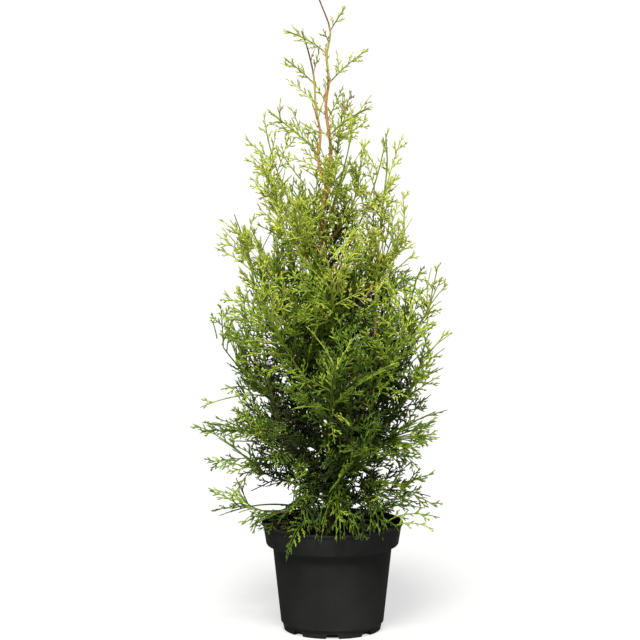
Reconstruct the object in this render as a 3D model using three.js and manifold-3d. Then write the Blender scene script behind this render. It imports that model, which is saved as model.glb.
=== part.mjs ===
// A young thuja (arborvitae) in its round nursery pot, built the way the real one is put together.
// Millimetres, +Z up. The origin is the centre of the pot's flat underside, on the ground.
// A heading of 0 degrees points along +X, 90 along +Y, 180 along -X and 270 along -Y.
//
// The pot is a thin injection-moulded shell with drain slots in its foot, filled with compost. One stem
// runs from the compost to the crown's tip and forks once into a second leader. Boughs leave the stem in
// a spiral, tier by tier. Each carries a mass of foliage: a three-sided stem that goes on from the bough,
// with flat toothed sprays fused to it. A spray is cut to its rib between the teeth, and each tooth
// stands for a branchlet.

import * as THREE from "three";
import { mergeVertices } from "three/addons/utils/BufferGeometryUtils.js";
import Module from "manifold-3d";

const wasm = await Module();
wasm.setup();

// ---- Driving dimensions ----------------------------------------------------------------------------

const GAP = 0.3; // clear space between two nodes that meet

const POT = {
  height: 147,
  lipRadius: 95,
  lipHeight: 3,
  lipRound: 0.8,
  bandTopRadius: 93,
  bandBottomRadius: 89,
  bandDrop: 28, // from the lip's top to the band's lower edge
  bandRound: 2,
  shoulderDrop: 33, // from the lip's top to where the band meets the wall
  wallTopRadius: 80,
  wallFootRadius: 69,
  footHeight: 12,
  footRadius: 65,
  wall: 1.8,
  floor: 3,
  sides: 36,
};
const DRAIN = { count: 8, width: 13, height: 6.5, innerRadius: 57 };

const COMPOST = {
  drop: 11, // of its edge, below the pot's lip
  mound: 3, // how much higher its middle is
  flatRadius: 14, // round the stem
  rings: [0.82, 0.6, 0.36], // of the edge's radius, where the surface is bumpy
  bump: 1.2,
  bumpSpacing: 21,
};

const TRUNK = {
  offset: -2, // of its foot from the pot's centre, along X
  footRadius: 6.2,
  tipRadius: 0.9,
  taper: 0.85,
  flare: 2.6,
  flareHeight: 9,
  sides: 8,
  steps: 26,
};
// Where the main stem leans and sways to: height above ground, then its offset along X and Y.
const TRUNK_SWAY = [
  [250, -3, 2],
  [380, 2, -2],
  [480, -8, -4],
  [548, -15, -2],
  [601, -8, 0],
  [646, -2, 2],
  [706, -9, 0],
  [742, -5, -2],
  [774, -8, 0],
  [805, -3, 0],
  [849, -18, 0],
];
const FORK_HEIGHT = 598;
const LEADER = { footRadius: 1.9, tipRadius: 0.9, taper: 1, sides: 6, steps: 10 };
const LEADER_SWAY = [
  [634, -19, -4],
  [668, -16, -5],
  [706, -22, -4],
  [747, -25, 0],
  [786, -34, 2],
  [806, -41, 3],
];

// How far the crown's furthest tips stand from the stem's line: height above ground, then the reach along
// -X and along +X. Front and back reach the mean of the two.
const CROWN_REACH = [
  [150, 150, 128],
  [180, 168, 142],
  [232, 166, 138],
  [285, 190, 142],
  [339, 166, 146],
  [393, 163, 152],
  [447, 163, 152],
  [501, 160, 140],
  [555, 150, 106],
  [609, 122, 96],
  [663, 118, 97],
  [705, 92, 56],
  [760, 66, 48],
];

// The tiers of the crown, from the ground up. Roots are heights on the stem, from a tier's first bough to
// its last. Rises are degrees above level, at a bough's root and at its foliage's tip. bough is the bare
// limb's share of the whole, and spray the length of the tier's longest sprays.
const TIERS = [
  { name: "skirt", count: 5, roots: [151, 172], rise: [26, -22], bough: 0, spray: 80, sprays: 4,
    green: 0x3f6a26 },
  { name: "low", count: 5, roots: [178, 208], rise: [42, 14], bough: 0.34, spray: 92, sprays: 4,
    green: 0x4a7a2a },
  { name: "middle", count: 5, roots: [216, 262], rise: [32, 54], bough: 0.34, spray: 100, sprays: 4,
    green: 0x5f8f2c },
  { name: "broad", count: 5, roots: [276, 352], rise: [34, 62], bough: 0.32, spray: 100, sprays: 4,
    green: 0x74a230 },
  { name: "high", count: 5, roots: [368, 456], rise: [38, 70], bough: 0.28, spray: 84, sprays: 4,
    green: 0x86ad34 },
  { name: "top", count: 4, roots: [474, 564], rise: [48, 80], bough: 0, spray: 62, sprays: 3,
    green: 0x96b83a },
];
const SPIRAL = { first: 186, turn: 137.5 }; // degrees: the lowest bough's heading, and from one to the next

// The few sprays that stand out by themselves: one hangs over the pot, and the rest are on the leaders.
const LONE_SPRAYS = [
  { name: "hanging_spray", on: "trunk", root: 153, heading: 246, length: 166, rise: [14, -74], turn: 2.2,
    spray: 34, sprays: 2, green: 0x6c9a34 },
  { name: "leader_spray_1", on: "trunk", root: 668, heading: 338, length: 76, rise: [44, 24], turn: 1,
    spray: 34, sprays: 3, green: 0x9cbb40 },
  { name: "leader_spray_2", on: "trunk", root: 736, heading: 8, length: 72, rise: [50, 30], turn: 1,
    spray: 28, sprays: 2, green: 0x9cbb40 },
  { name: "leader_spray_3", on: "leader", root: 736, heading: 196, length: 58, rise: [46, 34], turn: 1,
    spray: 26, sprays: 2, green: 0xa5b848 },
  { name: "leader_spray_4", on: "trunk", root: 806, heading: 350, length: 40, rise: [60, 56], turn: 1,
    spray: 0, sprays: 0, green: 0xa5b848 },
  { name: "leader_spray_5", on: "leader", root: 644, heading: 184, length: 92, rise: [46, 34], turn: 1,
    spray: 38, sprays: 3, green: 0x9cbb40 },
  { name: "leader_spray_6", on: "trunk", root: 776, heading: 180, length: 68, rise: [42, 14], turn: 1,
    spray: 24, sprays: 2, green: 0xa5b848 },
];

const JITTER = { heading: 9, rise: 5, sweep: 16, short: 0.04 }; // how far one bough strays from its tier
const BOUGH = { footRadius: 3.4, sides: 6, steps: 4 };
const STEM = {
  footRadius: 2.4,
  tipRadius: 1.3,
  fullLength: 180, // of a path whose stem has the whole foot radius
  sides: 3,
  steps: 5,
  endShare: 0.84, // where along the path the stem ends, and its last spray takes over
};

const SPRAY = {
  thickness: 1.2,
  rib: 1.1, // half the rib's width at the first tooth
  toothPitch: 18, // along the rib
  teeth: [2, 4], // fewest and most to a side
  toothAngle: 42, // degrees between a tooth and the rib
  toothShare: 0.52, // the longest tooth as a share of the spray
  widest: 0.28, // where along the spray that tooth leaves the rib
  bareShare: 0.16, // of the spray, from its root to its first tooth
  teethShare: 0.94, // of the spray, from its root to past its last tooth
  firstShare: 0.16, // of a mass's path, before the first spray, where there is no bough
  shorten: [1.12, 0.7], // lengths of a mass's first and last spray against its tier's
  angle: 44, // degrees between a spray and its stem
  droop: 0.1, // how far a spray's tip bends out of its plane, as a share of its length
  rootRoom: 14, // how near its root a spray may come to the rest of its own mass
  sunk: 7, // how far the last spray's root goes into the stem's tip
  outside: 1.05, // how far past the crown's reach a corner may stand, as a share of it
  tries: 9, // rolls about the stem that are tried before a spray is left out
  nextTry: 22, // degrees of roll from one try to the next
};
const SPRAY_STRAY = { fan: 40, roll: 38, angle: 8, length: 0.12, twist: 30 };

const CELL = 2.4; // edge of the cells that keep one node's space apart from another's
const PATH_STEPS = 24; // straight stretches that a bend is worked out in

const COLOURS = { pot: 0x26262a, compost: 0x2e1c14, bark: 0x7a4a2c, leader: 0xa8703c };

// ---- Draws, angles and paths -----------------------------------------------------------------------

const radians = THREE.MathUtils.degToRad;
const mix = THREE.MathUtils.lerp;
const clamp = THREE.MathUtils.clamp;

// A seeded source of numbers from 0 to 1 (mulberry32), so that the plant comes out the same every time.
function seededDraw(seed) {
  let state = seed >>> 0;
  return () => {
    state = (state + 0x6d2b79f5) >>> 0;
    let t = state;
    t = Math.imul(t ^ (t >>> 15), t | 1);
    t ^= t + Math.imul(t ^ (t >>> 7), t | 61);
    return ((t ^ (t >>> 14)) >>> 0) / 2 ** 32;
  };
}

// A number from -reach to +reach.
const stray = (draw, reach) => (2 * draw() - 1) * reach;

function directionOf(heading, rise) {
  const level = Math.cos(radians(rise));
  return new THREE.Vector3(
    level * Math.cos(radians(heading)),
    level * Math.sin(radians(heading)),
    Math.sin(radians(rise)),
  );
}

// The line of a limb that grows from root, as evenly spaced points. Its rise turns from the first value to
// the second on the way, late if turn is above 1, and its heading swings round by sweep.
function grownPath(root, { heading, sweep = 0, rise, turn = 1, length }) {
  const points = [root.clone()];
  for (let i = 0; i < PATH_STEPS; i++) {
    const share = (i + 0.5) / PATH_STEPS;
    const step = directionOf(heading + sweep * share, mix(rise[0], rise[1], share ** turn));
    points.push(points[i].clone().addScaledVector(step, length / PATH_STEPS));
  }
  return points;
}

// The point at a share of a path's length, on straight stretches between its evenly spaced points.
function pointOn(path, share) {
  const place = clamp(share, 0, 1) * (path.length - 1);
  const before = Math.min(Math.floor(place), path.length - 2);
  return path[before].clone().lerp(path[before + 1], place - before);
}

function tangentOn(path, share) {
  const reach = 0.02;
  return pointOn(path, share + reach).sub(pointOn(path, share - reach)).normalize();
}

const pathLength = (path) => path.slice(1).reduce((sum, p, i) => sum + p.distanceTo(path[i]), 0);

// Evenly spaced points on a smooth curve through a foot and the places it sways to.
function swayPath(foot, sway, steps) {
  const places = sway.map(([height, x, y]) => new THREE.Vector3(x, y, height));
  return new THREE.CatmullRomCurve3([foot, ...places], false, "centripetal").getSpacedPoints(steps);
}

// The share of a rising path at which it comes to a height.
function shareAtHeight(path, height) {
  const next = Math.max(1, path.findIndex((p) => p.z >= height));
  const low = path[next - 1].z;
  return (next - 1 + (height - low) / (path[next].z - low)) / (path.length - 1);
}

// ---- Solids ----------------------------------------------------------------------------------------

function solidFrom(geometry) {
  const bare = geometry.index ? geometry.toNonIndexed() : geometry.clone();
  bare.deleteAttribute("normal");
  bare.deleteAttribute("uv");
  const merged = mergeVertices(bare, 1e-4);
  const vertProperties = merged.attributes.position.array;
  const triVerts = new Uint32Array(merged.index.array);
  return new wasm.Manifold(new wasm.Mesh({ numProp: 3, vertProperties, triVerts }));
}

function geometryFrom(solid) {
  const { vertProperties, triVerts } = solid.getMesh();
  const geometry = new THREE.BufferGeometry();
  geometry.setAttribute("position", new THREE.BufferAttribute(new Float32Array(vertProperties), 3));
  geometry.setIndex(new THREE.BufferAttribute(new Uint32Array(triVerts), 1));
  const faceted = geometry.toNonIndexed();
  faceted.computeVertexNormals();
  return faceted;
}

// A solid cut clear of a limb it grows from, without the scraps that are left on the limb's far side.
function cutClear(solid, limb) {
  const bodies = solid.subtract(limb).decompose();
  return bodies.reduce((most, body) => (body.volume() > most.volume() ? body : most));
}

// A tapering limb along a stretch of a path: an upright cylinder of unit size, bent to the path.
function limbGeometry(path, { from = 0, to = 1, radiusAt, sides, steps }) {
  const geometry = new THREE.CylinderGeometry(1, 1, 1, sides, steps);
  const rings = [];
  let across = new THREE.Vector3(0, 1, 0);
  for (let i = 0; i <= steps; i++) {
    const share = mix(from, to, i / steps);
    const along = tangentOn(path, share);
    across = across.clone().addScaledVector(along, -across.dot(along)).normalize();
    rings.push({ centre: pointOn(path, share), across, side: across.clone().cross(along), share });
  }
  const position = geometry.attributes.position;
  for (let i = 0; i < position.count; i++) {
    const ring = rings[Math.round((position.getY(i) + 0.5) * steps)];
    const radius = radiusAt(ring.share);
    const p = ring.centre
      .clone()
      .addScaledVector(ring.across, position.getX(i) * radius)
      .addScaledVector(ring.side, position.getZ(i) * radius);
    position.setXYZ(i, p.x, p.y, p.z);
  }
  return geometry;
}

// The outline of one spray, root at the origin and tip along +X: a rib with forward-pointing teeth on
// both sides, those of one side half a pitch behind the other's.
function sprayOutline(length) {
  const teeth = clamp(Math.round(length / SPRAY.toothPitch), ...SPRAY.teeth);
  const bare = length * SPRAY.bareShare;
  const pitch = (length * SPRAY.teethShare - bare) / teeth;
  const forward = Math.cos(radians(SPRAY.toothAngle));
  const outward = Math.sin(radians(SPRAY.toothAngle));
  const edge = (side) => {
    const points = [];
    for (let i = 0; i < teeth; i++) {
      const start = bare + pitch * (i + (side > 0 ? 0 : 0.5));
      const share = start / length;
      const swell = Math.min(1, 0.6 + (0.4 * share) / SPRAY.widest);
      const fade = Math.min(1, (1.08 - share) / (1.08 - SPRAY.widest));
      const tooth = length * SPRAY.toothShare * swell * fade;
      const rib = SPRAY.rib * (1 - 0.5 * share);
      points.push([start, side * rib], [start + tooth * forward, side * (rib + tooth * outward)]);
    }
    return points;
  };
  return [[0, 0], ...edge(-1), [length, 0], ...edge(1).reverse()];
}

// A spray as a thin plate in its frame: axis along it, normal out of its plane, with a drooping tip.
function sprayGeometry({ root, axis, normal, length }) {
  const outline = new THREE.Shape(sprayOutline(length).map(([x, y]) => new THREE.Vector2(x, y)));
  const plate = new THREE.ExtrudeGeometry(outline, { depth: SPRAY.thickness, bevelEnabled: false });
  plate.translate(0, 0, -SPRAY.thickness / 2);
  const position = plate.attributes.position;
  for (let i = 0; i < position.count; i++) {
    const bend = SPRAY.droop * length * (position.getX(i) / length) ** 2;
    position.setZ(i, position.getZ(i) - bend);
  }
  const across = normal.clone().cross(axis);
  plate.applyMatrix4(new THREE.Matrix4().makeBasis(axis, across, normal).setPosition(root));
  return plate;
}

// ---- Space: which node holds which cell ------------------------------------------------------------

const holders = new Map();
const cellKey = (x, y, z) => `${x},${y},${z}`;

// The cells that a geometry's surface passes through, found on points closer together than a cell.
function cellsOf(geometry) {
  const faces = geometry.index ? geometry.toNonIndexed() : geometry;
  const position = faces.attributes.position;
  const spacing = 0.7 * CELL;
  const cells = new Map();
  for (let i = 0; i < position.count; i += 3) {
    const [a, b, c] = [0, 1, 2].map((k) => new THREE.Vector3().fromBufferAttribute(position, i + k));
    const longest = Math.max(a.distanceTo(b), b.distanceTo(c), c.distanceTo(a));
    const n = Math.ceil(longest / spacing) + 1;
    for (let j = 0; j <= n; j++) {
      for (let k = 0; k <= n - j; k++) {
        const p = a.clone().multiplyScalar((n - j - k) / n);
        p.addScaledVector(b, j / n).addScaledVector(c, k / n);
        const cell = p.divideScalar(CELL).floor().toArray();
        cells.set(cellKey(...cell), cell);
      }
    }
  }
  return [...cells.values()];
}

// Gives an owner the cells and all that touch them.
function claim(cells, owner) {
  const around = [-1, 0, 1];
  for (const [x, y, z] of cells) {
    for (const i of around) {
      for (const j of around) {
        for (const k of around) {
          const key = cellKey(x + i, y + j, z + k);
          if (!holders.has(key)) holders.set(key, new Set());
          holders.get(key).add(owner);
        }
      }
    }
  }
}

// Whether nobody else holds any of the cells. Next to its root a spray may share cells with its own mass.
function isFree(cells, owner, root) {
  const shared = SPRAY.rootRoom / CELL;
  const near = root.clone().divideScalar(CELL).subScalar(0.5);
  return cells.every(([x, y, z]) => {
    const nearRoot = Math.hypot(x - near.x, y - near.y, z - near.z) < shared;
    const others = [...(holders.get(cellKey(x, y, z)) ?? [])];
    return others.every((other) => nearRoot && other === owner);
  });
}

// Foliage keeps off the pot and the compost: above the lip, or outside its radius.
function clearOfPot(cells) {
  return cells.every(([x, y, z]) => {
    const level = Math.hypot(x + 0.5, y + 0.5) * CELL;
    return z * CELL > POT.height + CELL || level > POT.lipRadius + 2 * CELL;
  });
}

// ---- Pot and compost -------------------------------------------------------------------------------

// The pot's outside from the ground up, and its inside from the floor up, as [radius, height].
function potSections() {
  const { height, wall, lipRadius, lipHeight, lipRound } = POT;
  const shoulder = height - POT.shoulderDrop;
  const bandFoot = height - POT.bandDrop;
  const outside = [
    [POT.footRadius, 0],
    [POT.footRadius + 1.5, POT.footHeight - 3],
    [POT.wallFootRadius, POT.footHeight],
    [POT.wallTopRadius, shoulder],
    [POT.bandBottomRadius - POT.bandRound, bandFoot - POT.bandRound],
    [POT.bandBottomRadius, bandFoot],
    [POT.bandTopRadius, height - lipHeight],
    [lipRadius, height - lipHeight + lipRound],
    [lipRadius, height - lipRound],
    [lipRadius - lipRound, height],
  ];
  const inside = [
    [POT.footRadius - wall, POT.floor],
    [POT.wallFootRadius - wall, POT.footHeight],
    [POT.wallTopRadius - wall, shoulder + wall],
    [POT.bandBottomRadius - wall, bandFoot],
    [POT.bandTopRadius - wall, height - lipHeight],
    [lipRadius - lipRound - wall, height],
  ];
  return { outside, inside };
}

function turned(section, sides) {
  const geometry = new THREE.LatheGeometry(section.map(([r, z]) => new THREE.Vector2(r, z)), sides);
  return geometry.rotateX(Math.PI / 2);
}

function potSolid() {
  const { outside, inside } = potSections();
  const section = [[0, 0], ...outside, ...inside.reverse(), [0, POT.floor]];
  let solid = solidFrom(turned(section, POT.sides));
  for (let i = 0; i < DRAIN.count; i++) {
    const depth = POT.wallFootRadius + GAP - DRAIN.innerRadius;
    const slot = new THREE.BoxGeometry(depth, DRAIN.width, 2 * DRAIN.height);
    slot.translate(DRAIN.innerRadius + depth / 2, 0, 0);
    slot.rotateZ(radians(270 + (360 * i) / DRAIN.count));
    solid = solid.subtract(solidFrom(slot));
  }
  return solid;
}

const compostTop = POT.height - COMPOST.drop + COMPOST.mound;

// The filling follows the pot's inside a gap away. Its top is a low mound of crumbs, flat under the stem.
function compostSolid() {
  const { inside } = potSections();
  const edgeLevel = POT.height - COMPOST.drop;
  const clear = 2 * GAP;
  const [low, high] = inside.slice(3, 5);
  const edgeRadius = mix(low[0], high[0], (edgeLevel - low[1]) / (high[1] - low[1])) - clear;
  const side = inside.slice(0, 4).map(([r, z], i) => [r - clear, i === 0 ? z + GAP : z]);
  const rings = COMPOST.rings.map((share) => [share * edgeRadius, edgeLevel]);
  const middle = [[COMPOST.flatRadius, compostTop], [0, compostTop]];
  const section = [[0, POT.floor + GAP], ...side, [edgeRadius, edgeLevel], ...rings, ...middle];
  const filling = turned(section, POT.sides);
  const position = filling.attributes.position;
  for (let i = 0; i < position.count; i++) {
    const [x, y, z] = [position.getX(i), position.getY(i), position.getZ(i)];
    const level = Math.hypot(x, y);
    const onRing = Math.abs(z - edgeLevel) < 0.01 && level < edgeRadius - 1;
    if (!onRing) continue;
    const rise = COMPOST.mound * (1 - level / edgeRadius);
    const turns = (2 * Math.PI) / COMPOST.bumpSpacing;
    position.setZ(i, z + rise + COMPOST.bump * Math.sin(turns * x) * Math.cos(turns * y));
  }
  return solidFrom(filling);
}

// ---- Stem and leaders ------------------------------------------------------------------------------

const stemFoot = new THREE.Vector3(TRUNK.offset, 0, compostTop + GAP);
const trunkPath = swayPath(stemFoot, TRUNK_SWAY, 60);
const forkPoint = pointOn(trunkPath, shareAtHeight(trunkPath, FORK_HEIGHT));
const leaderPath = swayPath(forkPoint, LEADER_SWAY, 24);

const taperAt = (limb, share) => mix(limb.footRadius, limb.tipRadius, share ** limb.taper);

function flareAt(share) {
  const height = pointOn(trunkPath, share).z - stemFoot.z;
  return TRUNK.flare * Math.exp(-height / TRUNK.flareHeight);
}

// The main stem and the second leader, each also as a slightly stouter solid that cuts others clear.
function uprights(grow) {
  const trunkRadius = (share) => taperAt(TRUNK, share) + flareAt(share) + grow;
  const leaderRadius = (share) => taperAt(LEADER, share) + grow;
  return {
    trunk: limbGeometry(trunkPath, { radiusAt: trunkRadius, sides: TRUNK.sides, steps: TRUNK.steps }),
    leader: limbGeometry(leaderPath, { radiusAt: leaderRadius, sides: LEADER.sides, steps: LEADER.steps }),
  };
}

const paths = { trunk: trunkPath, leader: leaderPath };
const limbs = uprights(0);
const stouter = uprights(1.5 * GAP);
const cutters = { trunk: solidFrom(stouter.trunk), leader: solidFrom(stouter.leader) };

// ---- Plan of the crown -----------------------------------------------------------------------------

// The crown's reach from the stem's line at a height, towards a point off that line.
function crownReach({ x, y, z }) {
  const last = CROWN_REACH.length - 1;
  const next = clamp(CROWN_REACH.findIndex(([height]) => height >= z), 1, last);
  const [below, above] = [CROWN_REACH[next - 1], CROWN_REACH[next]];
  const share = clamp((z - below[0]) / (above[0] - below[0]), 0, 1);
  const left = mix(below[1], above[1], share);
  const right = mix(below[2], above[2], share);
  const deep = (left + right) / 2;
  return mix(deep, x < 0 ? left : right, x ** 2 / (x ** 2 + y ** 2));
}

// Whether none of a spray's corners stands out past the crown.
function withinCrown(geometry) {
  const position = geometry.attributes.position;
  for (let i = 0; i < position.count; i++) {
    const p = new THREE.Vector3().fromBufferAttribute(position, i);
    if (Math.hypot(p.x, p.y) > SPRAY.outside * crownReach(p)) return false;
  }
  return true;
}

// The path of a bough and its foliage, as long as takes its tip to a share of the crown's reach.
function pathToReach(root, bend, share) {
  const halvings = 16;
  let [short, long] = [0, 2 * POT.height];
  let path;
  for (let i = 0; i < halvings; i++) {
    const length = (short + long) / 2;
    path = grownPath(root, { ...bend, length });
    const tip = path.at(-1);
    if (Math.hypot(tip.x, tip.y) < share * crownReach(tip)) short = length;
    else long = length;
  }
  return path;
}

// A tier's mass at its place in the spiral. Every mass has its own draws, so that a change to one leaves
// the others as they are.
function tierMass(tier, i, place) {
  const draw = seededDraw(1000 + place);
  const heading = SPIRAL.first + SPIRAL.turn * place + stray(draw, JITTER.heading);
  const rise = tier.rise.map((angle) => angle + stray(draw, JITTER.rise));
  const sweep = stray(draw, JITTER.sweep);
  const height = mix(tier.roots[0], tier.roots[1], i / (tier.count - 1));
  const root = pointOn(trunkPath, shareAtHeight(trunkPath, height));
  const path = pathToReach(root, { heading, sweep, rise }, 1 - JITTER.short * draw());
  return {
    ...tier,
    name: `${tier.name}_foliage_${i + 1}`,
    boughName: tier.bough ? `${tier.name}_bough_${i + 1}` : null,
    on: "trunk",
    path,
    draw,
  };
}

function loneMass(lone, place) {
  const root = pointOn(paths[lone.on], shareAtHeight(paths[lone.on], lone.root));
  return { ...lone, bough: 0, boughName: null, path: grownPath(root, lone), draw: seededDraw(9000 + place) };
}

function crownPlan() {
  const plan = [];
  for (const tier of TIERS) {
    for (let i = 0; i < tier.count; i++) plan.push(tierMass(tier, i, plan.length));
  }
  return [...plan, ...LONE_SPRAYS.map(loneMass)];
}

// The frames of a mass's sprays. They leave its stem in turn to either side, and the last goes on from
// the stem's tip. Every frame takes the same count of draws.
function sprayFrames({ path, bough, draw, spray, sprays }) {
  const up = new THREE.Vector3(0, 0, 1);
  const fanRoll = stray(draw, SPRAY_STRAY.fan);
  const frameAt = (share, rest) => {
    const tangent = tangentOn(path, share);
    return { root: pointOn(path, share), tangent, level: tangent.clone().cross(up).normalize(), ...rest };
  };
  const frames = [];
  for (let i = 0; i < sprays; i++) {
    const share = mix(bough || SPRAY.firstShare, STEM.endShare, (i + 0.35) / sprays);
    const turn = i % 2 ? 1 : -1;
    const roll = fanRoll + stray(draw, SPRAY_STRAY.roll);
    const angle = SPRAY.angle + stray(draw, SPRAY_STRAY.angle);
    const length = spray * mix(...SPRAY.shorten, i / sprays) * (1 + stray(draw, SPRAY_STRAY.length));
    frames.push(frameAt(share, { turn, roll, angle, length, twist: stray(draw, SPRAY_STRAY.twist) }));
  }
  const total = pathLength(path);
  const end = { turn: 1, roll: fanRoll, angle: 0, length: total * (1 - STEM.endShare) + SPRAY.sunk };
  frames.push(frameAt(STEM.endShare - SPRAY.sunk / total, { ...end, twist: stray(draw, SPRAY_STRAY.twist) }));
  return frames;
}

// A frame's spray, rolled about the stem by some degrees more than the frame says.
function placedSpray({ root, tangent, level, turn, roll, angle, length, twist }, more) {
  const side = level.clone().multiplyScalar(turn).applyAxisAngle(tangent, radians(roll + more));
  const axis = tangent.clone().multiplyScalar(Math.cos(radians(angle)));
  axis.addScaledVector(side, Math.sin(radians(angle))).normalize();
  const normal = tangent.clone().cross(side).applyAxisAngle(axis, radians(twist));
  normal.addScaledVector(axis, -normal.dot(axis)).normalize();
  return sprayGeometry({ root, axis, normal, length });
}

// ---- Assembly --------------------------------------------------------------------------------------

const plant = new THREE.Group();

function addNode(name, solid, color, roughness) {
  const material = new THREE.MeshStandardMaterial({ color, roughness, metalness: 0 });
  const mesh = new THREE.Mesh(geometryFrom(solid), material);
  mesh.name = name;
  plant.add(mesh);
}

addNode("pot", potSolid(), COLOURS.pot, 0.45);
addNode("compost", compostSolid(), COLOURS.compost, 0.95);
addNode("trunk", solidFrom(limbs.trunk), COLOURS.bark, 0.85);
addNode("second_leader", cutClear(solidFrom(limbs.leader), cutters.trunk), COLOURS.leader, 0.8);
claim(cellsOf(limbs.trunk), "trunk");
claim(cellsOf(limbs.leader), "second_leader");

function addBough({ boughName, path, bough, on }, endRadius) {
  const radiusAt = (share) => mix(BOUGH.footRadius, endRadius, share / bough);
  const geometry = limbGeometry(path, { to: bough, radiusAt, sides: BOUGH.sides, steps: BOUGH.steps });
  addNode(boughName, cutClear(solidFrom(geometry), cutters[on]), COLOURS.bark, 0.85);
  claim(cellsOf(geometry), boughName);
}

// The three-sided stem of a mass, from its bough's tip or from the limb it grows on.
function massStem({ path, bough, on }, footRadius) {
  const from = bough ? bough + GAP / pathLength(path) : 0;
  const radiusAt = (share) => mix(footRadius, STEM.tipRadius, (share - bough) / (1 - bough));
  const shape = { from, to: STEM.endShare, radiusAt, sides: STEM.sides, steps: STEM.steps };
  const stem = solidFrom(limbGeometry(path, shape));
  return bough ? stem : cutClear(stem, cutters[on]);
}

// Fuses a spray to its mass where its space is free, or leaves it out.
function fuseSpray(mass, frame) {
  for (let i = 0; i < SPRAY.tries; i++) {
    const more = Math.ceil(i / 2) * (i % 2 ? 1 : -1) * SPRAY.nextTry;
    const geometry = placedSpray(frame, more);
    const cells = cellsOf(geometry);
    const inside = mass.name === "hanging_spray" || withinCrown(geometry);
    if (inside && isFree(cells, mass.name, frame.root) && clearOfPot(cells)) {
      claim(cells, mass.name);
      mass.solid = mass.solid.add(solidFrom(geometry));
      return;
    }
  }
}

const crown = crownPlan();

// All limbs and stems come first, so that every spray can keep clear of them.
for (const mass of crown) {
  const fullness = Math.min(1, pathLength(mass.path) / STEM.fullLength);
  const footRadius = mix(STEM.tipRadius, STEM.footRadius, fullness);
  if (mass.bough) addBough(mass, footRadius);
  mass.solid = massStem(mass, footRadius);
  claim(cellsOf(geometryFrom(mass.solid)), mass.name);
  mass.frames = sprayFrames(mass);
}
for (const mass of crown) fuseSpray(mass, mass.frames.at(-1));
for (const mass of crown) {
  for (const frame of mass.frames.slice(0, -1)) fuseSpray(mass, frame);
  addNode(mass.name, mass.solid, mass.green, 0.6);
}

export default plant;
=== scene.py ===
"""A young thuja in its black nursery pot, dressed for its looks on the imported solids.

The crown is grown by the same rule as the solids: the same boughs, the same masses and the same flat
sprays, each carried on here to branchlets and shoots clad in scale leaves. The plan of the crown is in
millimetres, as a grower would measure it, and becomes metres when a mesh is made.
"""

import math

import bmesh
import bpy
import numpy as np
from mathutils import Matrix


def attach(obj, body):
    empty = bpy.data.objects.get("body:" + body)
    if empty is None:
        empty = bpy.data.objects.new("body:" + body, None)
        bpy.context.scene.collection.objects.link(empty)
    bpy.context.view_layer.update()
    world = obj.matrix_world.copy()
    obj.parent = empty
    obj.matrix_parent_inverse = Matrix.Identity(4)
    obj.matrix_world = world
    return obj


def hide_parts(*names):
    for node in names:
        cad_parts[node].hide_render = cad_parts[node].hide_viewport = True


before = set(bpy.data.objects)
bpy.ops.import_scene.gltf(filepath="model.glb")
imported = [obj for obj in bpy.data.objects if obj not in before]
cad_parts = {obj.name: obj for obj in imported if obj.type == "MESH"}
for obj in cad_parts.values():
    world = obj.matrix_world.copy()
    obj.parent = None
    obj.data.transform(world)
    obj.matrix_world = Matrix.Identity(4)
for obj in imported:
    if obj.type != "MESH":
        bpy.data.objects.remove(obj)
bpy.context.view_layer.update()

MM = 0.001


def table(columns, *rows):
    """Rows of values, each under the names of the columns."""
    return [dict(zip(columns.split(), row)) for row in rows]


# ---- The plant's plan, in millimetres ----------------------------

POT_HEIGHT = 147
LIP_RADIUS = 95
ABOVE_LIP, BESIDE_LIP = 6, 10  # how far sprays keep off the lip
COMPOST_TOP = 139
TRUNK_OFFSET = -2
TRUNK = {"foot": 6.2, "tip": 0.9, "taper": 0.85, "flare": 2.6, "flare_height": 9}
LEADER = {"foot": 1.9, "tip": 0.9}

# Where the main stem and the second leader sway to: height above ground, then the offset along X and Y.
TRUNK_SWAY = [
    (250, -3, 2), (380, 2, -2), (480, -8, -4), (548, -15, -2), (601, -8, 0), (646, -2, 2), (706, -9, 0),
    (742, -5, -2), (774, -8, 0), (805, -3, 0), (849, -18, 0),
]
FORK_HEIGHT = 598
LEADER_SWAY = [
    (634, -19, -4), (668, -16, -5), (706, -22, -4), (747, -25, 0), (786, -34, 2), (806, -41, 3),
]

# How far the crown's furthest tips stand from the stem's line: height above ground, then the reach
# along -X and along +X.
CROWN_REACH = [
    (150, 150, 128), (180, 168, 142), (232, 166, 138), (285, 190, 142), (339, 166, 146), (393, 163, 152),
    (447, 163, 152), (501, 160, 140), (555, 150, 106), (609, 122, 96), (663, 118, 97), (705, 92, 56),
    (760, 66, 48),
]

# The masses' tiers from the lowest up: how many, the heights of the lowest and highest root, the rise at a
# bough's root and tip, the share of it that is bare, its sprays' length and how many of them a mass has.
TIERS = table(
    "name count roots rise bough spray sprays",
    ("skirt", 5, (151, 172), (26, -22), 0, 80, 4),
    ("low", 5, (178, 208), (42, 14), 0.34, 92, 4),
    ("middle", 5, (216, 262), (32, 54), 0.34, 100, 4),
    ("broad", 5, (276, 352), (34, 62), 0.32, 100, 4),
    ("high", 5, (368, 456), (38, 70), 0.28, 84, 4),
    ("top", 4, (474, 564), (48, 80), 0, 62, 3),
)
SPIRAL = {"first": 186, "turn": 137.5}

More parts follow.
